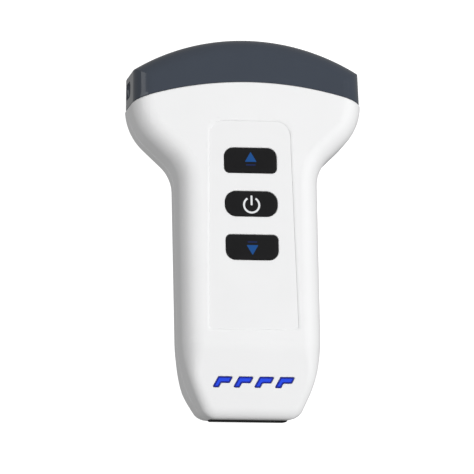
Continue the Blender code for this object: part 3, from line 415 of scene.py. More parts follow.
def tail_shape(point):
    """Slopes the front face down towards the tail and leans the end face in under it."""
    x, y, z = point
    above = min(max((z - SEAM_Z) / (THICKNESS - SEAM_Z), 0), 1)
    z -= past_crease(y) * math.tan(FACET_ANGLE) * above
    near_end = min(max((TAIL_Y + UNDERCUT_LENGTH - y) / UNDERCUT_LENGTH, 0), 1)
    y += max(END_TOP_Z - z, 0) * math.tan(UNDERCUT_ANGLE) * near_end
    return Vector((x, y, z))


def slice_shape(shape, place, normal, faces=None, clear=False):
    """Divides a shape along a plane. With clear, what lies behind the plane goes."""
    faces = shape.faces[:] if faces is None else faces
    edges = {edge for face in faces for edge in face.edges}
    verts = {vert for face in faces for vert in face.verts}
    geometry = [*verts, *edges, *faces]
    bmesh.ops.bisect_plane(shape, geom=geometry, plane_co=place, plane_no=normal, clear_inner=clear)


def close_holes(shape):
    bmesh.ops.holes_fill(shape, edges=[edge for edge in shape.edges if edge.is_boundary])


def casing_form(inset, front, back, steps=EDGE_STEPS, fine=True):
    """The casing as a closed bmesh with its walls moved inwards."""
    outer = casing_outline(0.0)
    rounds = [max(edge_round(point.y) - inset, LEAST_ROUND) for point in outer]
    angles = [math.pi / 2 * step / steps for step in range(steps + 1)]
    levels = [(back, 1, angle, 0.0) for angle in angles]
    levels += [(THICKNESS - front, -1, angle, 0.0) for angle in reversed(angles)]
    if fine:
        levels = [(back, 1, 0.0, GUARD)] + levels + [(THICKNESS - front, -1, 0.0, GUARD)]
    rings = []
    for face_z, inwards, angle, guard in levels:
        ring = []
        for i, radius in enumerate(rounds):
            point = casing_outline(inset + radius * (1 - math.sin(angle)) + guard)[i]
            z = face_z + inwards * radius * (1 - math.cos(angle))
            ring.append(Vector((point.x, point.y, z)))
        rings.append(ring)
    shape = rings_shape(rings)
    for share in CREASE_SLICES:
        slice_shape(shape, (0, FACET_Y + share * CREASE, 0), (0, 1, 0))
    for vertex in shape.verts:
        vertex.co = tail_shape(vertex.co)
    bmesh.ops.triangulate(shape, faces=[face for face in shape.faces if len(face.verts) == 4])
    bmesh.ops.recalc_face_normals(shape, faces=shape.faces)
    return shape


def sink_edge(shape, beyond, radius):
    """Rounds a shape inwards from where beyond(point), the distance past the start, is above 0."""
    shape.normal_update()
    moves = []
    for vertex in shape.verts:
        share = min(max(beyond(vertex.co) / radius, 0), 1)
        if share > 0:
            moves.append((vertex, vertex.normal * radius * (1 - math.sqrt(1 - share * share))))
    for vertex, move in moves:
        vertex.co -= move


def lip_planes(radius):
    """How far each division of a rounded lip lies from where the rounding starts."""
    return [radius * math.sin(math.pi / 2 * step / LIP_STEPS) for step in range(LIP_STEPS + 1)]


def cut_seam(shape, upwards):
    """Keeps the casing on one side of the joint line, with a fine rounded edge along it."""
    end = SEAM_Z + upwards * HAIRLINE
    start = end + upwards * SEAM_ROUND
    for distance in lip_planes(SEAM_ROUND):
        place = (0, 0, start - upwards * distance)
        slice_shape(shape, place, (0, 0, upwards), clear=distance >= SEAM_ROUND)
    sink_edge(shape, lambda point: upwards * (start - point.z), SEAM_ROUND)
    close_holes(shape)


def from_nose_line(point):
    """The signed distance beyond the line between casing and nose."""
    return math.hypot(point.x, point.y - NOSE_LINE_Y) - NOSE_LINE_RADIUS


def cut_nose_line(shape, towards, end, radius):
    """Rounds the edge at the nose line and keeps a spare length beyond it, for a later exact cut."""
    start = end - towards * radius
    near = NOSE_LINE_Y + NOSE_LINE_RADIUS - NOSE_LINE_REACH
    slice_shape(shape, (0, near, 0), (0, 1, 0))
    count = math.ceil(HEAD_WIDTH / SLICE / 2) + 1
    for step in range(-count, count + 1):
        faces = [face for face in shape.faces if face.calc_center_median().y > near]
        slice_shape(shape, (step * SLICE, 0, 0), (1, 0, 0), faces)
    for vertex in shape.verts:
        vertex.co.y = math.hypot(vertex.co.x, vertex.co.y - NOSE_LINE_Y)
    planes = lip_planes(radius) + [radius + NOSE_LINE_SPARE]
    for distance in planes:
        place = (0, NOSE_LINE_RADIUS + start + towards * distance, 0)
        slice_shape(shape, place, (0, -towards, 0), clear=distance > radius)
    for vertex in shape.verts:
        vertex.co.y = math.sqrt(max(vertex.co.y**2 - vertex.co.x**2, 0)) + NOSE_LINE_Y
    sink_edge(shape, lambda point: towards * (from_nose_line(point) - start), radius)
    close_holes(shape)


def nose_line_cutter(name, offset, beyond=True):
    """Everything on the nose's side of the nose line, or on the casing's side."""
    centre = Vector((0, NOSE_LINE_Y))
    spread = math.asin(HEAD_WIDTH / NOSE_LINE_RADIUS)
    points = arc(centre, NOSE_LINE_RADIUS + offset, -spread, spread, 96)
    far = 2 * TOP_Y if beyond else 2 * TAIL_Y
    points += [Vector((points[-1].x, far)), Vector((points[0].x, far))]
    return loft(name, [at_height(points, -THICKNESS), at_height(points, 2 * THICKNESS)])


def nose_band(name, outer, thickness, half_angle, half_width, crown=0.0, edge=0.0):
    """A strip along the nose's arc. Its outer face is crowned and its long edges are rounded."""
    centre_z = THICKNESS / 2
    across, along = 16, 64
    profile = []
    for step in range(across + 1):
        share = 2 * step / across - 1
        past_edge = max(abs(share) * half_width - half_width + edge, 0)
        fall = past_edge**2 / edge if edge else 0
        profile.append((outer - crown * share * share - fall, centre_z + share * half_width))
    inner = outer - thickness
    profile += [(inner, centre_z + half_width), (inner, centre_z - half_width)]
    rings = []
    for step in range(along + 1):
        angle = half_angle * (2 * step / along - 1)
        x, y = math.sin(angle), math.cos(angle)
        rings.append([Vector((r * x, NOSE_CENTRE_Y + r * y, z)) for r, z in profile])
    return loft(name, rings)


# ---------------------------------------------------------------- materials


def linear(value):
    """The linear value of an 8-bit screen value."""
    value /= 255
    return value / 12.92 if value <= 0.04045 else ((value + 0.055) / 1.055) ** 2.4


def screen(red, green, blue):
    return (linear(red), linear(green), linear(blue))


class Nodes:
    """A new material and a short way to add nodes to it."""

    def __init__(self, name):
        self.material = bpy.data.materials.new(name)
        self.material.use_nodes = True
        self.tree = self.material.node_tree
        self.shader = self.tree.nodes["Principled BSDF"]
        self.place = self.add("ShaderNodeTexCoord").outputs["Object"]

    def add(self, kind, **settings):
        node = self.tree.nodes.new(kind)
        for key, value in settings.items():
            setattr(node, key, value)
        return node

    def link(self, source, target):
        self.tree.links.new(source, target)

    def noise(self, scale, detail=2.0, stretch=(1, 1, 1)):
        mapping = self.add("ShaderNodeMapping")
        mapping.inputs["Scale"].default_value = stretch
        self.link(self.place, mapping.inputs["Vector"])
        node = self.add("ShaderNodeTexNoise")
        node.inputs["Scale"].default_value = scale
        node.inputs["Detail"].default_value = detail
        self.link(mapping.outputs["Vector"], node.inputs["Vector"])
        return node.outputs["Fac"]

    def ramp(self, source, stops):
        node = self.add("ShaderNodeValToRGB")
        elements = node.color_ramp.elements
        while len(elements) < len(stops):
            elements.new(0.5)
        for element, (position, colour) in zip(elements, stops):
            element.position = position
            element.color = (*colour, 1)
        self.link(source, node.inputs["Fac"])
        return node.outputs["Color"]

    def spread(self, source, low, high):
        node = self.add("ShaderNodeMapRange")
        node.inputs["From Min"].default_value = 0.3
        node.inputs["From Max"].default_value = 0.7
        node.inputs["To Min"].default_value = low
        node.inputs["To Max"].default_value = high
        self.link(source, node.inputs["Value"])
        return node.outputs["Result"]

    def bump(self, source, strength, distance, under=None):
        node = self.add("ShaderNodeBump")
        node.inputs["Strength"].default_value = strength
        node.inputs["Distance"].default_value = distance
        self.link(source, node.inputs["Height"])
        if under is not None:
            self.link(under, node.inputs["Normal"])
        return node.outputs["Normal"]


def surface(
    name, colour, tint, patch, rough, grain, relief, metallic=0.0,
    coat=0.0, stretch=(1, 1, 1), wave=0.0, specular=0.5, glow=None,
):
    """A moulded, machined or wrapped surface: colour and gloss that vary in patches, and a fine grain.

    tint is how far the colour varies, patch and grain are noise scales, rough is the range of
    roughness, relief is the grain's bump and wave is the bump of a broad unevenness.
    """
    nodes = Nodes(name)
    shader = nodes.shader
    darker = tuple(channel * (1 - tint) for channel in colour)
    lighter = tuple(min(channel * (1 + tint), 1) for channel in colour)
    patches = nodes.noise(patch, 3, stretch)
    nodes.link(nodes.ramp(patches, [(0.3, darker), (0.7, lighter)]), shader.inputs["Base Color"])
    nodes.link(nodes.spread(nodes.noise(patch * 3.1, 2, stretch), *rough), shader.inputs["Roughness"])
    normal = nodes.bump(nodes.noise(grain, 2, stretch), relief, 0.1 * MM)
    if wave:
        normal = nodes.bump(nodes.noise(60, 1, stretch), wave, 0.5 * MM, normal)
    nodes.link(normal, shader.inputs["Normal"])
    shader.inputs["Metallic"].default_value = metallic
    shader.inputs["Coat Weight"].default_value = coat
    shader.inputs["Coat Roughness"].default_value = 0.08
    shader.inputs["Specular IOR Level"].default_value = specular
    if glow is not None:
        shader.inputs["Emission Color"].default_value = (*colour, 1)
        shader.inputs["Emission Strength"].default_value = glow
    return nodes.material


def striped(name, base, line, pitch, share, axis, rough, metallic=0.0):
    """A surface with fine parallel tracks, as on a flex or a ribbed plug."""
    nodes = Nodes(name)
    wave = nodes.add("ShaderNodeTexWave", bands_direction=axis)
    wave.inputs["Scale"].default_value = math.pi / (10 * pitch)
    wave.inputs["Distortion"].default_value = 0.0
    nodes.link(nodes.place, wave.inputs["Vector"])
    stops = [(share - 0.04, base), (share + 0.04, line)]
    nodes.link(nodes.ramp(wave.outputs["Fac"], stops), nodes.shader.inputs["Base Color"])
    gloss = nodes.spread(nodes.noise(300), rough - 0.05, rough + 0.05)
    nodes.link(gloss, nodes.shader.inputs["Roughness"])
    nodes.link(nodes.bump(wave.outputs["Fac"], 0.3, 0.05 * MM), nodes.shader.inputs["Normal"])
    nodes.shader.inputs["Metallic"].default_value = metallic
    return nodes.material


def circuit(name, mask, track):
    """A coated board: solder mask over paler tracks that run in short straight pieces."""
    nodes = Nodes(name)
    bricks = nodes.add("ShaderNodeTexBrick", offset=0.37, squash=1.6)
    bricks.inputs["Scale"].default_value = 260
    bricks.inputs["Mortar Size"].default_value = 0.035
    bricks.inputs["Mortar Smooth"].default_value = 0.2
    bricks.inputs["Color1"].default_value = (*mask, 1)
    bricks.inputs["Color2"].default_value = (*(0.8 * channel for channel in mask), 1)
    bricks.inputs["Mortar"].default_value = (*track, 1)
    nodes.link(nodes.place, bricks.inputs["Vector"])
    nodes.link(bricks.outputs["Color"], nodes.shader.inputs["Base Color"])
    nodes.link(nodes.spread(nodes.noise(500), 0.25, 0.35), nodes.shader.inputs["Roughness"])
    nodes.link(nodes.bump(bricks.outputs["Fac"], 0.2, 0.03 * MM), nodes.shader.inputs["Normal"])
    return nodes.material


WHITE = surface("casing_white", (0.84, 0.842, 0.846), 0.008, 60, (0.3, 0.36), 2600, 0.035)
PANEL = surface("control_panel", (0.826, 0.828, 0.832), 0.01, 80, (0.4, 0.48), 3200, 0.06)
BLACK_KEY = surface("key_black", screen(27, 27, 28), 0.06, 140, (0.5, 0.6), 3600, 0.12, specular=0.2)
NOSE = surface("nose_housing", screen(57, 64, 75), 0.03, 50, (0.1, 0.14), 1800, 0.012, coat=0.6)
LENS = surface("acoustic_lens", screen(108, 112, 116), 0.05, 110, (0.5, 0.6), 3000, 0.1)
BLUE = surface(
    "window_blue", screen(26, 66, 214), 0.06, 240, (0.16, 0.22), 1500, 0.03, coat=0.4, glow=0.18
)
# Deeper blue for the windows' rims: painted shade standing in for the dark reflection on their rounded edges
BLUE_PAINTED_SHADE_RIM = surface("window_rim_painted_shade", screen(20, 34, 150), 0.08, 300, (0.2, 0.3), 1500, 0.03)
SYMBOL_BLUE = surface("symbol_blue", screen(18, 74, 138), 0.05, 300, (0.4, 0.5), 3600, 0.05)
SYMBOL_DEEP = surface("symbol_deep_blue", screen(20, 34, 78), 0.05, 300, (0.45, 0.55), 3600, 0.05)
SYMBOL_PALE = surface("symbol_pale", screen(226, 228, 230), 0.03, 300, (0.4, 0.5), 3600, 0.05)
COVER = surface("port_cover", screen(24, 24, 25), 0.1, 160, (0.55, 0.7), 2800, 0.2, specular=0.3)
RUBBER = surface("seal_black", screen(34, 34, 36), 0.1, 200, (0.7, 0.8), 2600, 0.25, specular=0.3)
STEEL = surface("steel", (0.55, 0.56, 0.58), 0.05, 500, (0.28, 0.4), 4000, 0.08, metallic=1.0)
TINNED = surface("tinned_metal", (0.68, 0.68, 0.69), 0.05, 350, (0.22, 0.36), 2500, 0.08, metallic=1.0)
IVORY = surface("connector_ivory", screen(221, 215, 194), 0.04, 220, (0.45, 0.55), 3000, 0.08)

SLOT_MATERIALS = {
    "casing_white": WHITE,
    "control_panel": PANEL,
    "key_black": BLACK_KEY,
    "nose_housing": NOSE,
    "acoustic_lens": LENS,
    "window_blue": BLUE,
    "port_cover": COVER,
    "seal_black": RUBBER,
    "steel": STEEL,
    "tinned_metal": TINNED,
    "connector_ivory": IVORY,
    "switch_black": surface("switch_black", screen(26, 26, 28), 0.1, 300, (0.4, 0.5), 3000, 0.1),
    "plunger_ivory": surface(
        "plunger_ivory", screen(225, 218, 196), 0.04, 260, (0.4, 0.5), 3000, 0.08
    ),
    "lamp_white": surface("lamp_white", screen(232, 230, 214), 0.05, 900, (0.15, 0.25), 3000, 0.05),
    "chip_black": surface("chip_black", screen(30, 30, 33), 0.12, 700, (0.5, 0.62), 5000, 0.25),
    "board_green": circuit("board_green", screen(16, 84, 46), screen(52, 132, 82)),
    "matching_layer": surface(
        "matching_layer", screen(92, 78, 58), 0.08, 260, (0.5, 0.6), 4000, 0.15
    ),
    "piezo_array": striped(
        "piezo_array", screen(176, 152, 84), screen(88, 74, 44), 0.45 * MM, 0.8, "X", 0.35, 0.7
    ),
    "backing_block": surface("backing_block", screen(34, 34, 35), 0.2, 900, (0.75, 0.85), 2200, 0.4),
    "array_flex": striped(
        "array_flex", screen(168, 104, 36), screen(206, 142, 66), 0.6 * MM, 0.5, "X", 0.35
    ),
    "chassis": surface(
        "chassis", (0.7, 0.71, 0.72), 0.04, 400, (0.3, 0.42), 2500, 0.1,
        metallic=1.0, stretch=(1, 0.06, 1),
    ),
    "battery": surface(
        "battery", screen(120, 124, 130), 0.05, 90, (0.3, 0.42), 1200, 0.1, metallic=0.4, wave=0.25
    ),
    "battery_lead": striped(
        "battery_lead", screen(150, 26, 24), screen(26, 26, 28), 2 * MM, 0.6, "X", 0.45
    ),
    "antenna": surface("antenna", screen(222, 220, 206), 0.04, 500, (0.4, 0.5), 3000, 0.08),
}

for row in frame["record"]["subparts"]:
    carried = frame["nodes"][row["node"]]
    carried.data.materials.clear()
    carried.data.materials.append(SLOT_MATERIALS[row["material_slot"]])


# ---------------------------------------------------------------- casing


def inner_form(depth):
    """The casing's inner form at a depth inside its walls, with coarser edges."""
    return casing_form(SIDE_WALL + depth, FRONT_WALL + depth, BACK_WALL + depth, CAVITY_STEPS, False)


def cavity(name):
    shape = inner_form(0.0)
    slice_shape(shape, (0, TAIL_Y + END_WALL, 0), (0, 1, 0), clear=True)
    close_holes(shape)
    return mesh_object(name, shape)


HINGE = JOINTS["port_cover_hinge"]
HINGE_FRAME = Matrix.Translation(HINGE["pos_m"]) @ Matrix.Rotation(UNDERCUT_ANGLE, 4, "X")
COVER_HALF = 12 * MM
COVER_LOW = 1.6 * MM
COVER_HIGH = 7.6 * MM
COVER_OUT = 1.7 * MM
COVER_IN = 0.2 * MM
COVER_EDGE = 0.45 * MM
COVER_PLAY = 0.2 * MM
HINGE_RADIUS = 1.1 * MM
PIN_RADIUS = 0.45 * MM
PIN_HOLE_RADIUS = 0.6 * MM
TONGUE_HALF = 7 * MM
PORT_LOW, PORT_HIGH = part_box("charging_port")


def tail_cutters():
    """The cover's recess, the pocket of its hinge, the hole of its pin and the way to the port."""
    deep, far = COVER_IN - 0.1 * MM, 6 * MM
    side = COVER_HALF + COVER_PLAY
    low, high = (-side, -far, COVER_LOW - COVER_PLAY), (side, -deep, COVER_HIGH + COVER_PLAY)
    recess = box_between("recess", low, high, 0.3 * MM, HINGE_FRAME)
    side = TONGUE_HALF + GAP
    low, high = (-side, -far, -HINGE_RADIUS - 2 * GAP), (side, HINGE_RADIUS + GAP, COVER_LOW + GAP)
    pocket = box_between("pocket", low, high, 0, HINGE_FRAME)
    along_x = HINGE_FRAME @ Matrix.Rotation(math.pi / 2, 4, "Y")
    pin_low, pin_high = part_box("cover_hinge_pin")
    hole = cylinder("pin_hole", PIN_HOLE_RADIUS, pin_high.x - pin_low.x + 2 * GAP, along_x, 24)
    grow = Vector((GAP, END_WALL, GAP))
    return [recess, pocket, hole, box_between("port_way", PORT_LOW - grow, PORT_HIGH + grow)]


PANEL_TAPER = 1.4 * MM
PANEL_TOP_ROUND = 4.5 * MM
PANEL_BOTTOM_ROUND = 1.2 * MM
CONTROL_STEPS = 10


def panel_outline(inset):
    """The control panel, which widens towards the tail."""
    low, high = PANEL_BOX
    narrow = high.x - PANEL_TAPER
    places = ((-narrow, high.y), (narrow, high.y), (high.x, low.y), (low.x, low.y))
    rounds = (PANEL_TOP_ROUND, PANEL_TOP_ROUND, PANEL_BOTTOM_ROUND, PANEL_BOTTOM_ROUND)
    return rounded_polygon([Vector(place) for place in places], rounds, inset, CONTROL_STEPS)


KEY_ROUNDS = {
    "up": (2.8 * MM, 1.5 * MM),
    "power": (3.4 * MM, 3.4 * MM),
    "down": (1.5 * MM, 2.9 * MM),
}
FLANGE_MARGIN = 1 * MM
KEY_EDGE = 0.4 * MM
KEY_CROWN = 0.05 * MM


def key_middle(kind):
    low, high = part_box("button_" + kind)
    return (low + high) / 2


def key_outline(kind, inset):
    """A key's outline in the casing's place. The CAD box of a key holds its flange too."""
    low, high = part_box("button_" + kind)
    top, bottom = (radius + FLANGE_MARGIN for radius in KEY_ROUNDS[kind])
    rounds = (top, top, bottom, bottom)
    return rounded_polygon(rectangle(low, high), rounds, inset + FLANGE_MARGIN, CONTROL_STEPS)


WINDOW_NUMBERS = range(1, 5)
WINDOW_TO_TAIL = 10.8 * MM
WINDOW_PITCH = 6.5 * MM
WINDOW_LENGTH = 6.3 * MM
WINDOW_HEIGHT = 3.3 * MM
WINDOW_BAR = 1.9 * MM
WINDOW_LEAN = math.tan(math.radians(28.6))
WINDOW_ROUND = 0.45 * MM


def window_frame():
    """The middle of the indicator row, tilted as the tail's slope."""
    boxes = [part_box(f"led_window_{number}") for number in WINDOW_NUMBERS]
    y = TAIL_Y + WINDOW_TO_TAIL
    z = THICKNESS - (FACET_Y - y) * math.tan(FACET_ANGLE)
    middle = (boxes[0][0].x + boxes[-1][1].x) / 2
    return Matrix.Translation((middle, y, z)) @ Matrix.Rotation(FACET_ANGLE, 4, "X")


WINDOW_FRAME = window_frame()


def window_outline(number, inset):
    """A slanted bracket: a bar with a leg down its left end."""
    middle = (number - 2.5) * WINDOW_PITCH
    top = WINDOW_HEIGHT / 2
    left = middle - (WINDOW_LENGTH - WINDOW_HEIGHT * WINDOW_LEAN) / 2
    right = left + WINDOW_LENGTH - WINDOW_HEIGHT * WINDOW_LEAN
    under, leg = top - WINDOW_BAR, left + WINDOW_BAR
    places = ((left, top), (right, top), (right, under), (leg, under), (leg, -top), (left, -top))
    corners = [Vector((x + y * WINDOW_LEAN, y)) for x, y in places]
    return rounded_polygon(corners, [WINDOW_ROUND] * 6, inset, 6)


SCREW_PLACES = {}
for screw_number in range(1, 5):
    low_corner, high_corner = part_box(f"case_screw_{screw_number}")
    SCREW_PLACES[screw_number] = (low_corner + high_corner) / 2
BOSS_RADIUS = 2.8 * MM
SCREW_RADIUS, SCREW_LOW, SHANK_RADIUS = 1.9 * MM, 1.2 * MM, 1 * MM


def upright(name, radius, place, low, high, edge=0.0):
    """A cylinder that stands between two heights."""
    stand = Matrix.Translation((place.x, place.y, (low + high) / 2))
    return cylinder(name, radius, high - low, stand, 40, edge)


def front_shell():
    shape = casing_form(0.0, 0.0, 0.0)
    cut_seam(shape, 1)
    cut_nose_line(shape, 1, 0.0, LIP_ROUND)
    front = mesh_object("casing_front", shape)
    combine(front, nose_line_cutter("beyond", 0.0))
    combine(front, cavity("hollow"))
    for place in SCREW_PLACES.values():
        boss = upright("boss", BOSS_RADIUS, place, SEAM_Z + 2 * GAP, THICKNESS - 2 * MM)
        combine(front, boss, "UNION")
        combine(front, upright("pilot", SHANK_RADIUS + GAP, place, 0, 17 * MM))
    rim, step = 0.85 * MM, THICKNESS - PANEL_Z
    outline = lambda inset: panel_outline(inset + 0.05 * MM)
    floor = PANEL_Z - 1.25 * MM
    combine(front, flared_cutter("panel_pocket", outline, floor, THICKNESS, rim, step * 0.95))
    for kind in KEY_ROUNDS:
        outline = functools.partial(key_outline, kind)
        low = THICKNESS - FRONT_WALL - 1 * MM
        cutter = [at_height(outline(-GAP), low), at_height(outline(-GAP), PANEL_Z)]
        combine(front, loft("key_way", cutter))
    for number in WINDOW_NUMBERS:
        outline = lambda inset: window_outline(number, inset - 0.08 * MM)
        way = flared_cutter("window_way", outline, -4 * MM, 0, 0.2 * MM, 0.2 * MM, WINDOW_FRAME)
        combine(front, way)
    for cutter in tail_cutters():
        combine(front, cutter)
    shown(dressed(front, WHITE), "housing", "casing_white", "front_shell")


def back_shell():
    shape = casing_form(0.0, 0.0, 0.0)
    cut_seam(shape, -1)
    cut_nose_line(shape, 1, 0.0, LIP_ROUND)
    back = mesh_object("casing_back", shape)
    combine(back, nose_line_cutter("beyond", 0.0))
    combine(back, cavity("hollow"))
    for place in SCREW_PLACES.values():
        boss = upright("boss", BOSS_RADIUS, place, BACK_WALL / 2, SEAM_Z - 2 * GAP)
        combine(back, boss, "UNION")
        combine(back, upright("hole", SHANK_RADIUS + GAP, place, -1 * MM, SEAM_Z))
        well = lambda inset: arc(place.xy, SCREW_RADIUS + 0.2 * MM - inset, 0, -2 * math.pi, 48)[:-1]
        turned_over = Matrix.Diagonal((1, 1, -1, 1))
        combine(back, flared_cutter("well", well, -3 * MM, 0, 0.25 * MM, 0.25 * MM, turned_over))
    for cutter in tail_cutters():
        combine(back, cutter)
    shown(dressed(back, WHITE), "housing", "casing_white", "back_shell")


def seals():
    """A flat strip inside each side of the joint line, clear of the nose and of the undercut end."""
    for name, side in (("seam_seal_right", 1), ("seam_seal_left", -1)):
        rows = []
        for outer, inner in zip(casing_outline(0.6 * MM), casing_outline(1.5 * MM)):
            clear = from_nose_line(outer) < -1 * MM and outer.y > TAIL_Y + 4 * MM
            if clear and side * outer.x > 0:
                rows.append((outer, inner))
        rows.sort(key=lambda row: -row[0].y)
        rings = []
        for outer, inner in rows:
            corners = [(outer, 0.28), (outer, -0.28), (inner, -0.28), (inner, 0.28)]
            rings.append([Vector((point.x, point.y, SEAM_Z + z * MM)) for point, z in corners])
        shown(dressed(loft(name + "_strip", rings), RUBBER), "housing", "seal_black", name)


# ---------------------------------------------------------------- nose


def nose():
    shape = casing_form(NOSE_INSET, NOSE_INSET, NOSE_INSET)
    cut_nose_line(shape, -1, NOSE_JOINT, NOSE_JOINT_ROUND)
    skin = mesh_object("nose_skin", shape)
    combine(skin, nose_line_cutter("behind", NOSE_JOINT, False))
    neck = mesh_object("neck", inner_form(GAP))
    combine(neck, nose_line_cutter("neck_end", -NECK_LENGTH), "INTERSECT")
    combine(skin, neck, "UNION")
    combine(skin, mesh_object("bore", inner_form(GAP + NOSE_WALL)))
    way_angle = LENS_HALF_ANGLE + LENS_SPARE / NOSE_RADIUS
    way_half = LENS_WIDTH / 2 + LENS_SPARE
    combine(skin, nose_band("lens_way", NOSE_RADIUS + 1 * MM, LENS_WAY_DEPTH, way_angle, way_half))
    for side in (1, -1):
        middle = Vector((side * MARKER_PLACE.x, MARKER_PLACE.y, MARKER_PLACE.z))
        low, high = middle - MARKER_HALF, middle + MARKER_HALF
        combine(skin, box_between("marker", low, high, MARKER_EDGE))
    shown(dressed(skin, NOSE), "housing", "nose_housing", "nose_housing")
    half_width = LENS_WIDTH / 2
    lens = nose_band(
        "lens_strip", NOSE_RADIUS, LENS_THICKNESS, LENS_HALF_ANGLE, half_width, LENS_CROWN, LENS_EDGE
    )
    shown(dressed(lens, LENS), "housing", "acoustic_lens", "acoustic_lens")


# ---------------------------------------------------------------- keys, panel and windows


def panel():
    low = PANEL_BOX[0].z
    edge = panel_outline(0.0)
    plate = loft("panel_plate", [at_height(edge, low), at_height(edge, PANEL_Z)])
    for kind in KEY_ROUNDS:
        outline = lambda inset: key_outline(kind, inset - 0.15 * MM)
        combine(plate, flared_cutter("key_hole", outline, low - 1 * MM, PANEL_Z, 0.25 * MM, 0.25 * MM))
    shown(dressed(plate, PANEL), "housing", "control_panel", "control_panel")


SYMBOL_RISE = 0.03 * MM


def symbol(name, outline, middle, material, kind):
    """A thin flat print on a key's top."""
    top = KEY_TOP_Z
    rings = [at_height(outline, top - 3 * SYMBOL_RISE), at_height(outline, top)]
    mark = loft(name, rings, Matrix.Translation((middle.x, middle.y, 0)))
    shown(dressed(mark, material), "key_" + kind, "key_black")


def triangle(kind, upwards):
    middle = key_middle(kind)
    middle.y += upwards * 1 * MM
    half, height, bar_drop, bar = 1.85 * MM, 3.15 * MM, 0.75 * MM, 0.45 * MM
    corners = [Vector((0, height / 2)), Vector((half, -height / 2)), Vector((-half, -height / 2))]
    outline = rounded_polygon(corners, [0.12 * MM] * 3, 0.0, 4)
    turn = Matrix.Rotation(0 if upwards > 0 else math.pi, 2)
    symbol(f"arrow_{kind}", [turn @ point for point in outline], middle, SYMBOL_BLUE, kind)
    high = -height / 2 - bar_drop
    corners = rectangle(Vector((-1.5 * MM, high - bar)), Vector((1.5 * MM, high)))
    outline = rounded_polygon(corners, [0.1 * MM] * 4, 0.0, 4)
    symbol(f"arrow_bar_{kind}", [turn @ point for point in outline], middle, SYMBOL_DEEP, kind)


def power_sign():
    """A ring open at the top, with a bar in the opening."""
    middle = key_middle("power")
    middle.y -= 0.5 * MM
    radius, stroke, gap_angle = 2.4 * MM, 0.6 * MM, math.radians(32)
    centre = Vector((0, 0))
    ring = arc(centre, radius + stroke / 2, gap_angle, 2 * math.pi - gap_angle, 48)
    ring += arc(centre, radius - stroke / 2, 2 * math.pi - gap_angle, gap_angle, 48)
    symbol("power_ring", ring, middle, SYMBOL_PALE, "power")
    corners = rectangle(Vector((-stroke / 2, -0.1 * MM)), Vector((stroke / 2, 3 * MM)))
    symbol("power_bar", rounded_polygon(corners, [0.2 * MM] * 4, 0.0, 4), middle, SYMBOL_PALE, "power")


def key(kind):
    low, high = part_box("button_" + kind)
    flange_top = THICKNESS - FRONT_WALL - GAP
    flange_low = flange_top - 0.8 * MM
    outline = functools.partial(key_outline, kind)
    top = KEY_TOP_Z - SYMBOL_RISE
    cap = rounded_prism(f"key_cap_{kind}", outline, flange_low + 0.2 * MM, top, KEY_EDGE, KEY_CROWN)
    rim = outline(-FLANGE_MARGIN)
    flange = loft("flange", [at_height(rim, flange_low), at_height(rim, flange_top)])
    combine(cap, flange, "UNION")
    combine(cap, upright("post", 1.5 * MM, key_middle(kind), low.z, flange_low + 0.3 * MM), "UNION")
    shown(dressed(cap, BLACK_KEY), "key_" + kind, "key_black", "button_" + kind)


def window(number):
    """A light guide whose rim is painted a deeper blue than its face: painted shade for the dark reflection along
    its rounded edge.
    """
    node = f"led_window_{number}"
    low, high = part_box(node)
    depth = (high.z - low.z) / math.cos(FACET_ANGLE) - 1.2 * MM
    outline = functools.partial(window_outline, number)
    top, edge, rim = -0.02 * MM, 0.2 * MM, 0.28 * MM
    rings = [at_height(outline(0.0), -depth), at_height(outline(0.0), top - edge)]
    rings += [at_height(outline(edge * 0.3), top - edge * 0.3), at_height(outline(edge), top)]
    rings.append(at_height(outline(edge + rim), top))
    guide = loft(f"indicator_{number}", rings)
    dressed(guide, BLUE_PAINTED_SHADE_RIM, BLUE)
    # The flat top gets the window blue; every other face keeps the deeper blue of painted shade
    for face in guide.data.polygons:
        if face.normal.z > 0.96 and len(face.vertices) > 4:
            face.material_index = 1
    guide.data.transform(WINDOW_FRAME)
    shown(guide, "housing", "window_blue", node)


# ---------------------------------------------------------------- tail and screws


def port_cover():
    """The cover plate with its finger groove, its tongue and its hinge barrel, and the hinge pin."""
    low, high = (-COVER_HALF, -COVER_OUT, COVER_LOW), (COVER_HALF, -COVER_IN, COVER_HIGH)
    cover = box_between("cover_flap", low, high, COVER_EDGE, HINGE_FRAME)
    groove = Matrix.Translation((0, -COVER_OUT - 0.35 * MM, COVER_HIGH - 1.3 * MM))
    turned_x = Matrix.Rotation(math.pi / 2, 4, "Y")
    combine(cover, cylinder("groove", 0.6 * MM, 9 * MM, HINGE_FRAME @ groove @ turned_x, 32, 0.4 * MM))
    low, high = (-TONGUE_HALF, -1 * MM, 0), (TONGUE_HALF, -COVER_IN - 0.05 * MM, COVER_LOW + 1.5 * MM)
    combine(cover, box_between("tongue", low, high, 0, HINGE_FRAME), "UNION")
    along_x = HINGE_FRAME @ turned_x
    combine(cover, cylinder("barrel", HINGE_RADIUS, 2 * TONGUE_HALF - 0.1 * MM, along_x, 40), "UNION")
    combine(cover, cylinder("bore", PIN_HOLE_RADIUS, 3 * TONGUE_HALF, along_x, 32))
    shown(dressed(cover, COVER), "cover", "port_cover", "port_cover")
    pin_low, pin_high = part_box("cover_hinge_pin")
    pin = cylinder("hinge_rod", PIN_RADIUS, pin_high.x - pin_low.x, along_x, 32, 0.12 * MM)
    shown(dressed(pin, STEEL), "housing", "steel", "cover_hinge_pin")


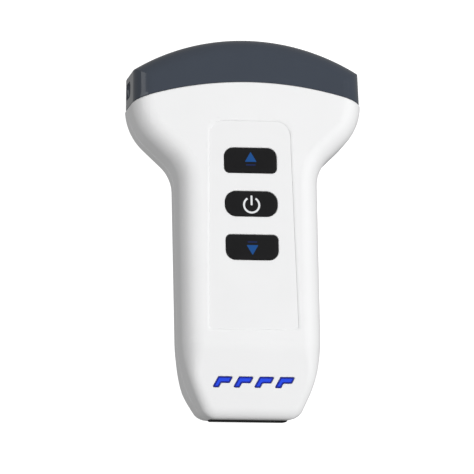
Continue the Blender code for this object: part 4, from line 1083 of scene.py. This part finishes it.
def charging_port():
    """A rounded metal receptacle with a tongue inside it."""
    size = PORT_HIGH - PORT_LOW
    middle = (PORT_HIGH + PORT_LOW) / 2
    stand = Matrix.Translation((middle.x, PORT_LOW.y, middle.z)) @ Matrix.Rotation(math.pi / 2, 4, "X")
    half = Vector((size.x / 2, size.z / 2))
    outline = lambda inset: rounded_polygon(rectangle(-half, half), [1.5 * MM] * 4, inset, 8)
    shell = loft("receptacle", [at_height(outline(0.0), -size.y), at_height(outline(0.0), 0)], stand)
    inner = lambda inset: outline(inset + 0.3 * MM)
    combine(shell, flared_cutter("mouth", inner, -size.y + 0.8 * MM, 0, 0.15 * MM, 0.15 * MM, stand))
    shown(dressed(shell, TINNED), "housing", "tinned_metal", "charging_port")
    blade_half = Vector((3.1 * MM, 0.35 * MM))
    blade = lambda inset: rounded_polygon(rectangle(-blade_half, blade_half), [0.2 * MM] * 4, inset, 4)
    rings = [at_height(blade(0.0), -size.y + 0.7 * MM), at_height(blade(0.0), -1 * MM)]
    shown(dressed(loft("receptacle_tongue", rings, stand), RUBBER), "housing", "tinned_metal")


def screw(number):
    """A cap screw with a hexagon socket, its head down in its well."""
    place = SCREW_PLACES[number]
    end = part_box(f"case_screw_{number}")[1].z
    head_top = SCREW_LOW + 1.5 * MM
    head = upright(f"fastener_{number}", SCREW_RADIUS, place, SCREW_LOW, head_top, 0.3 * MM)
    shank = upright("shank", SHANK_RADIUS, place, head_top - 0.4 * MM, end, 0.25 * MM)
    combine(head, shank, "UNION")
    socket_place = Matrix.Translation((place.x, place.y, SCREW_LOW))
    combine(head, cylinder("socket", 1.05 * MM, 2 * MM, socket_place, 6))
    shown(dressed(head, STEEL), "housing", "steel", f"case_screw_{number}")


front_shell()
back_shell()
seals()
nose()
panel()
for key_kind in KEY_ROUNDS:
    key(key_kind)
triangle("up", 1)
triangle("down", -1)
power_sign()
for window_number in WINDOW_NUMBERS:
    window(window_number)
port_cover()
charging_port()
for screw_number in SCREW_PLACES:
    screw(screw_number)


# ---------------------------------------------------------------- floor, light and camera


def stage_floor():
    """A plain pale floor, bright enough to read as white round the scanner."""
    shape = bmesh.new()
    bmesh.ops.create_grid(shape, x_segments=2, y_segments=2, size=2)
    floor = mesh_object("floor", shape)
    nodes = Nodes("floor_white")
    pale = nodes.ramp(nodes.noise(6, 2), [(0.3, (0.46, 0.46, 0.46)), (0.7, (0.48, 0.48, 0.48))])
    nodes.link(pale, nodes.shader.inputs["Base Color"])
    nodes.shader.inputs["Roughness"].default_value = 0.9
    nodes.shader.inputs["Specular IOR Level"].default_value = 0.0
    nodes.shader.inputs["Emission Color"].default_value = (1, 1, 1, 1)
    nodes.shader.inputs["Emission Strength"].default_value = 0.9
    floor.data.materials.append(nodes.material)
    floor.visible_diffuse = False
    floor.visible_glossy = False


def panel_light(name, size, distance, direction, power):
    """A square soft light that faces the middle of the scanner."""
    light = bpy.data.lights.new(name, "AREA")
    light.size = size
    light.energy = power
    obj = bpy.data.objects.new(name, light)
    bpy.context.scene.collection.objects.link(obj)
    towards = Vector(direction).normalized()
    obj.location = towards * distance + Vector((0, 0, THICKNESS / 2))
    obj.rotation_mode = "QUATERNION"
    obj.rotation_quaternion = towards.to_track_quat("Z", "Y")
    return obj


def studio():
    world = bpy.data.worlds.new("studio")
    bpy.context.scene.world = world
    world.use_nodes = True
    world.node_tree.nodes["Background"].inputs["Color"].default_value = (1, 1, 1, 1)
    world.node_tree.nodes["Background"].inputs["Strength"].default_value = 0.28
    key = panel_light("key_light", 0.9, 1.2, (0.75, 0.1, 1), 11.8)
    key.visible_glossy = False
    top = panel_light("top_light", 0.7, 1.3, (-0.7, -0.1, 1), 5.2)
    top.visible_glossy = False
    strip = panel_light("strip_light", 0.2, 1, (-0.73, 0.2, 0.65), 0.5)
    strip.data.shape = "RECTANGLE"
    strip.data.size_y = 0.9
    strip.visible_diffuse = False


CAMERA_SWING = math.radians(10.5)
CAMERA_DIP = math.radians(12)
CAMERA_ROLL = math.radians(1.2)
CAMERA_DISTANCE = 2.5
VIEW_WIDTH = 147.9 * MM
AIM_UP = 1.15 * MM
AIM_LEFT = 0.35 * MM


def camera():
    """The photograph's view: from a little left of the keys' normal and below it, turned slightly."""
    swing, dip, roll = CAMERA_SWING, CAMERA_DIP, CAMERA_ROLL
    right = Vector((math.cos(swing), 0, math.sin(swing)))
    up = Vector((-math.sin(dip) * math.sin(swing), math.cos(dip), math.sin(dip) * math.cos(swing)))
    back = right.cross(up)
    across = right * math.cos(roll) - up * math.sin(roll)
    upwards = up * math.cos(roll) + right * math.sin(roll)
    aim = upwards * AIM_UP - across * AIM_LEFT
    lens = bpy.data.cameras.new("camera")
    lens.sensor_width = 36
    lens.lens = lens.sensor_width * CAMERA_DISTANCE / VIEW_WIDTH
    lens.clip_start = 0.01
    obj = bpy.data.objects.new("camera", lens)
    bpy.context.scene.collection.objects.link(obj)
    turn = Matrix((across, upwards, back)).transposed().to_4x4()
    obj.matrix_world = Matrix.Translation(aim + back * CAMERA_DISTANCE) @ turn
    bpy.context.scene.camera = obj


stage_floor()
studio()
camera()
bpy.context.scene.view_settings.view_transform = "Standard"
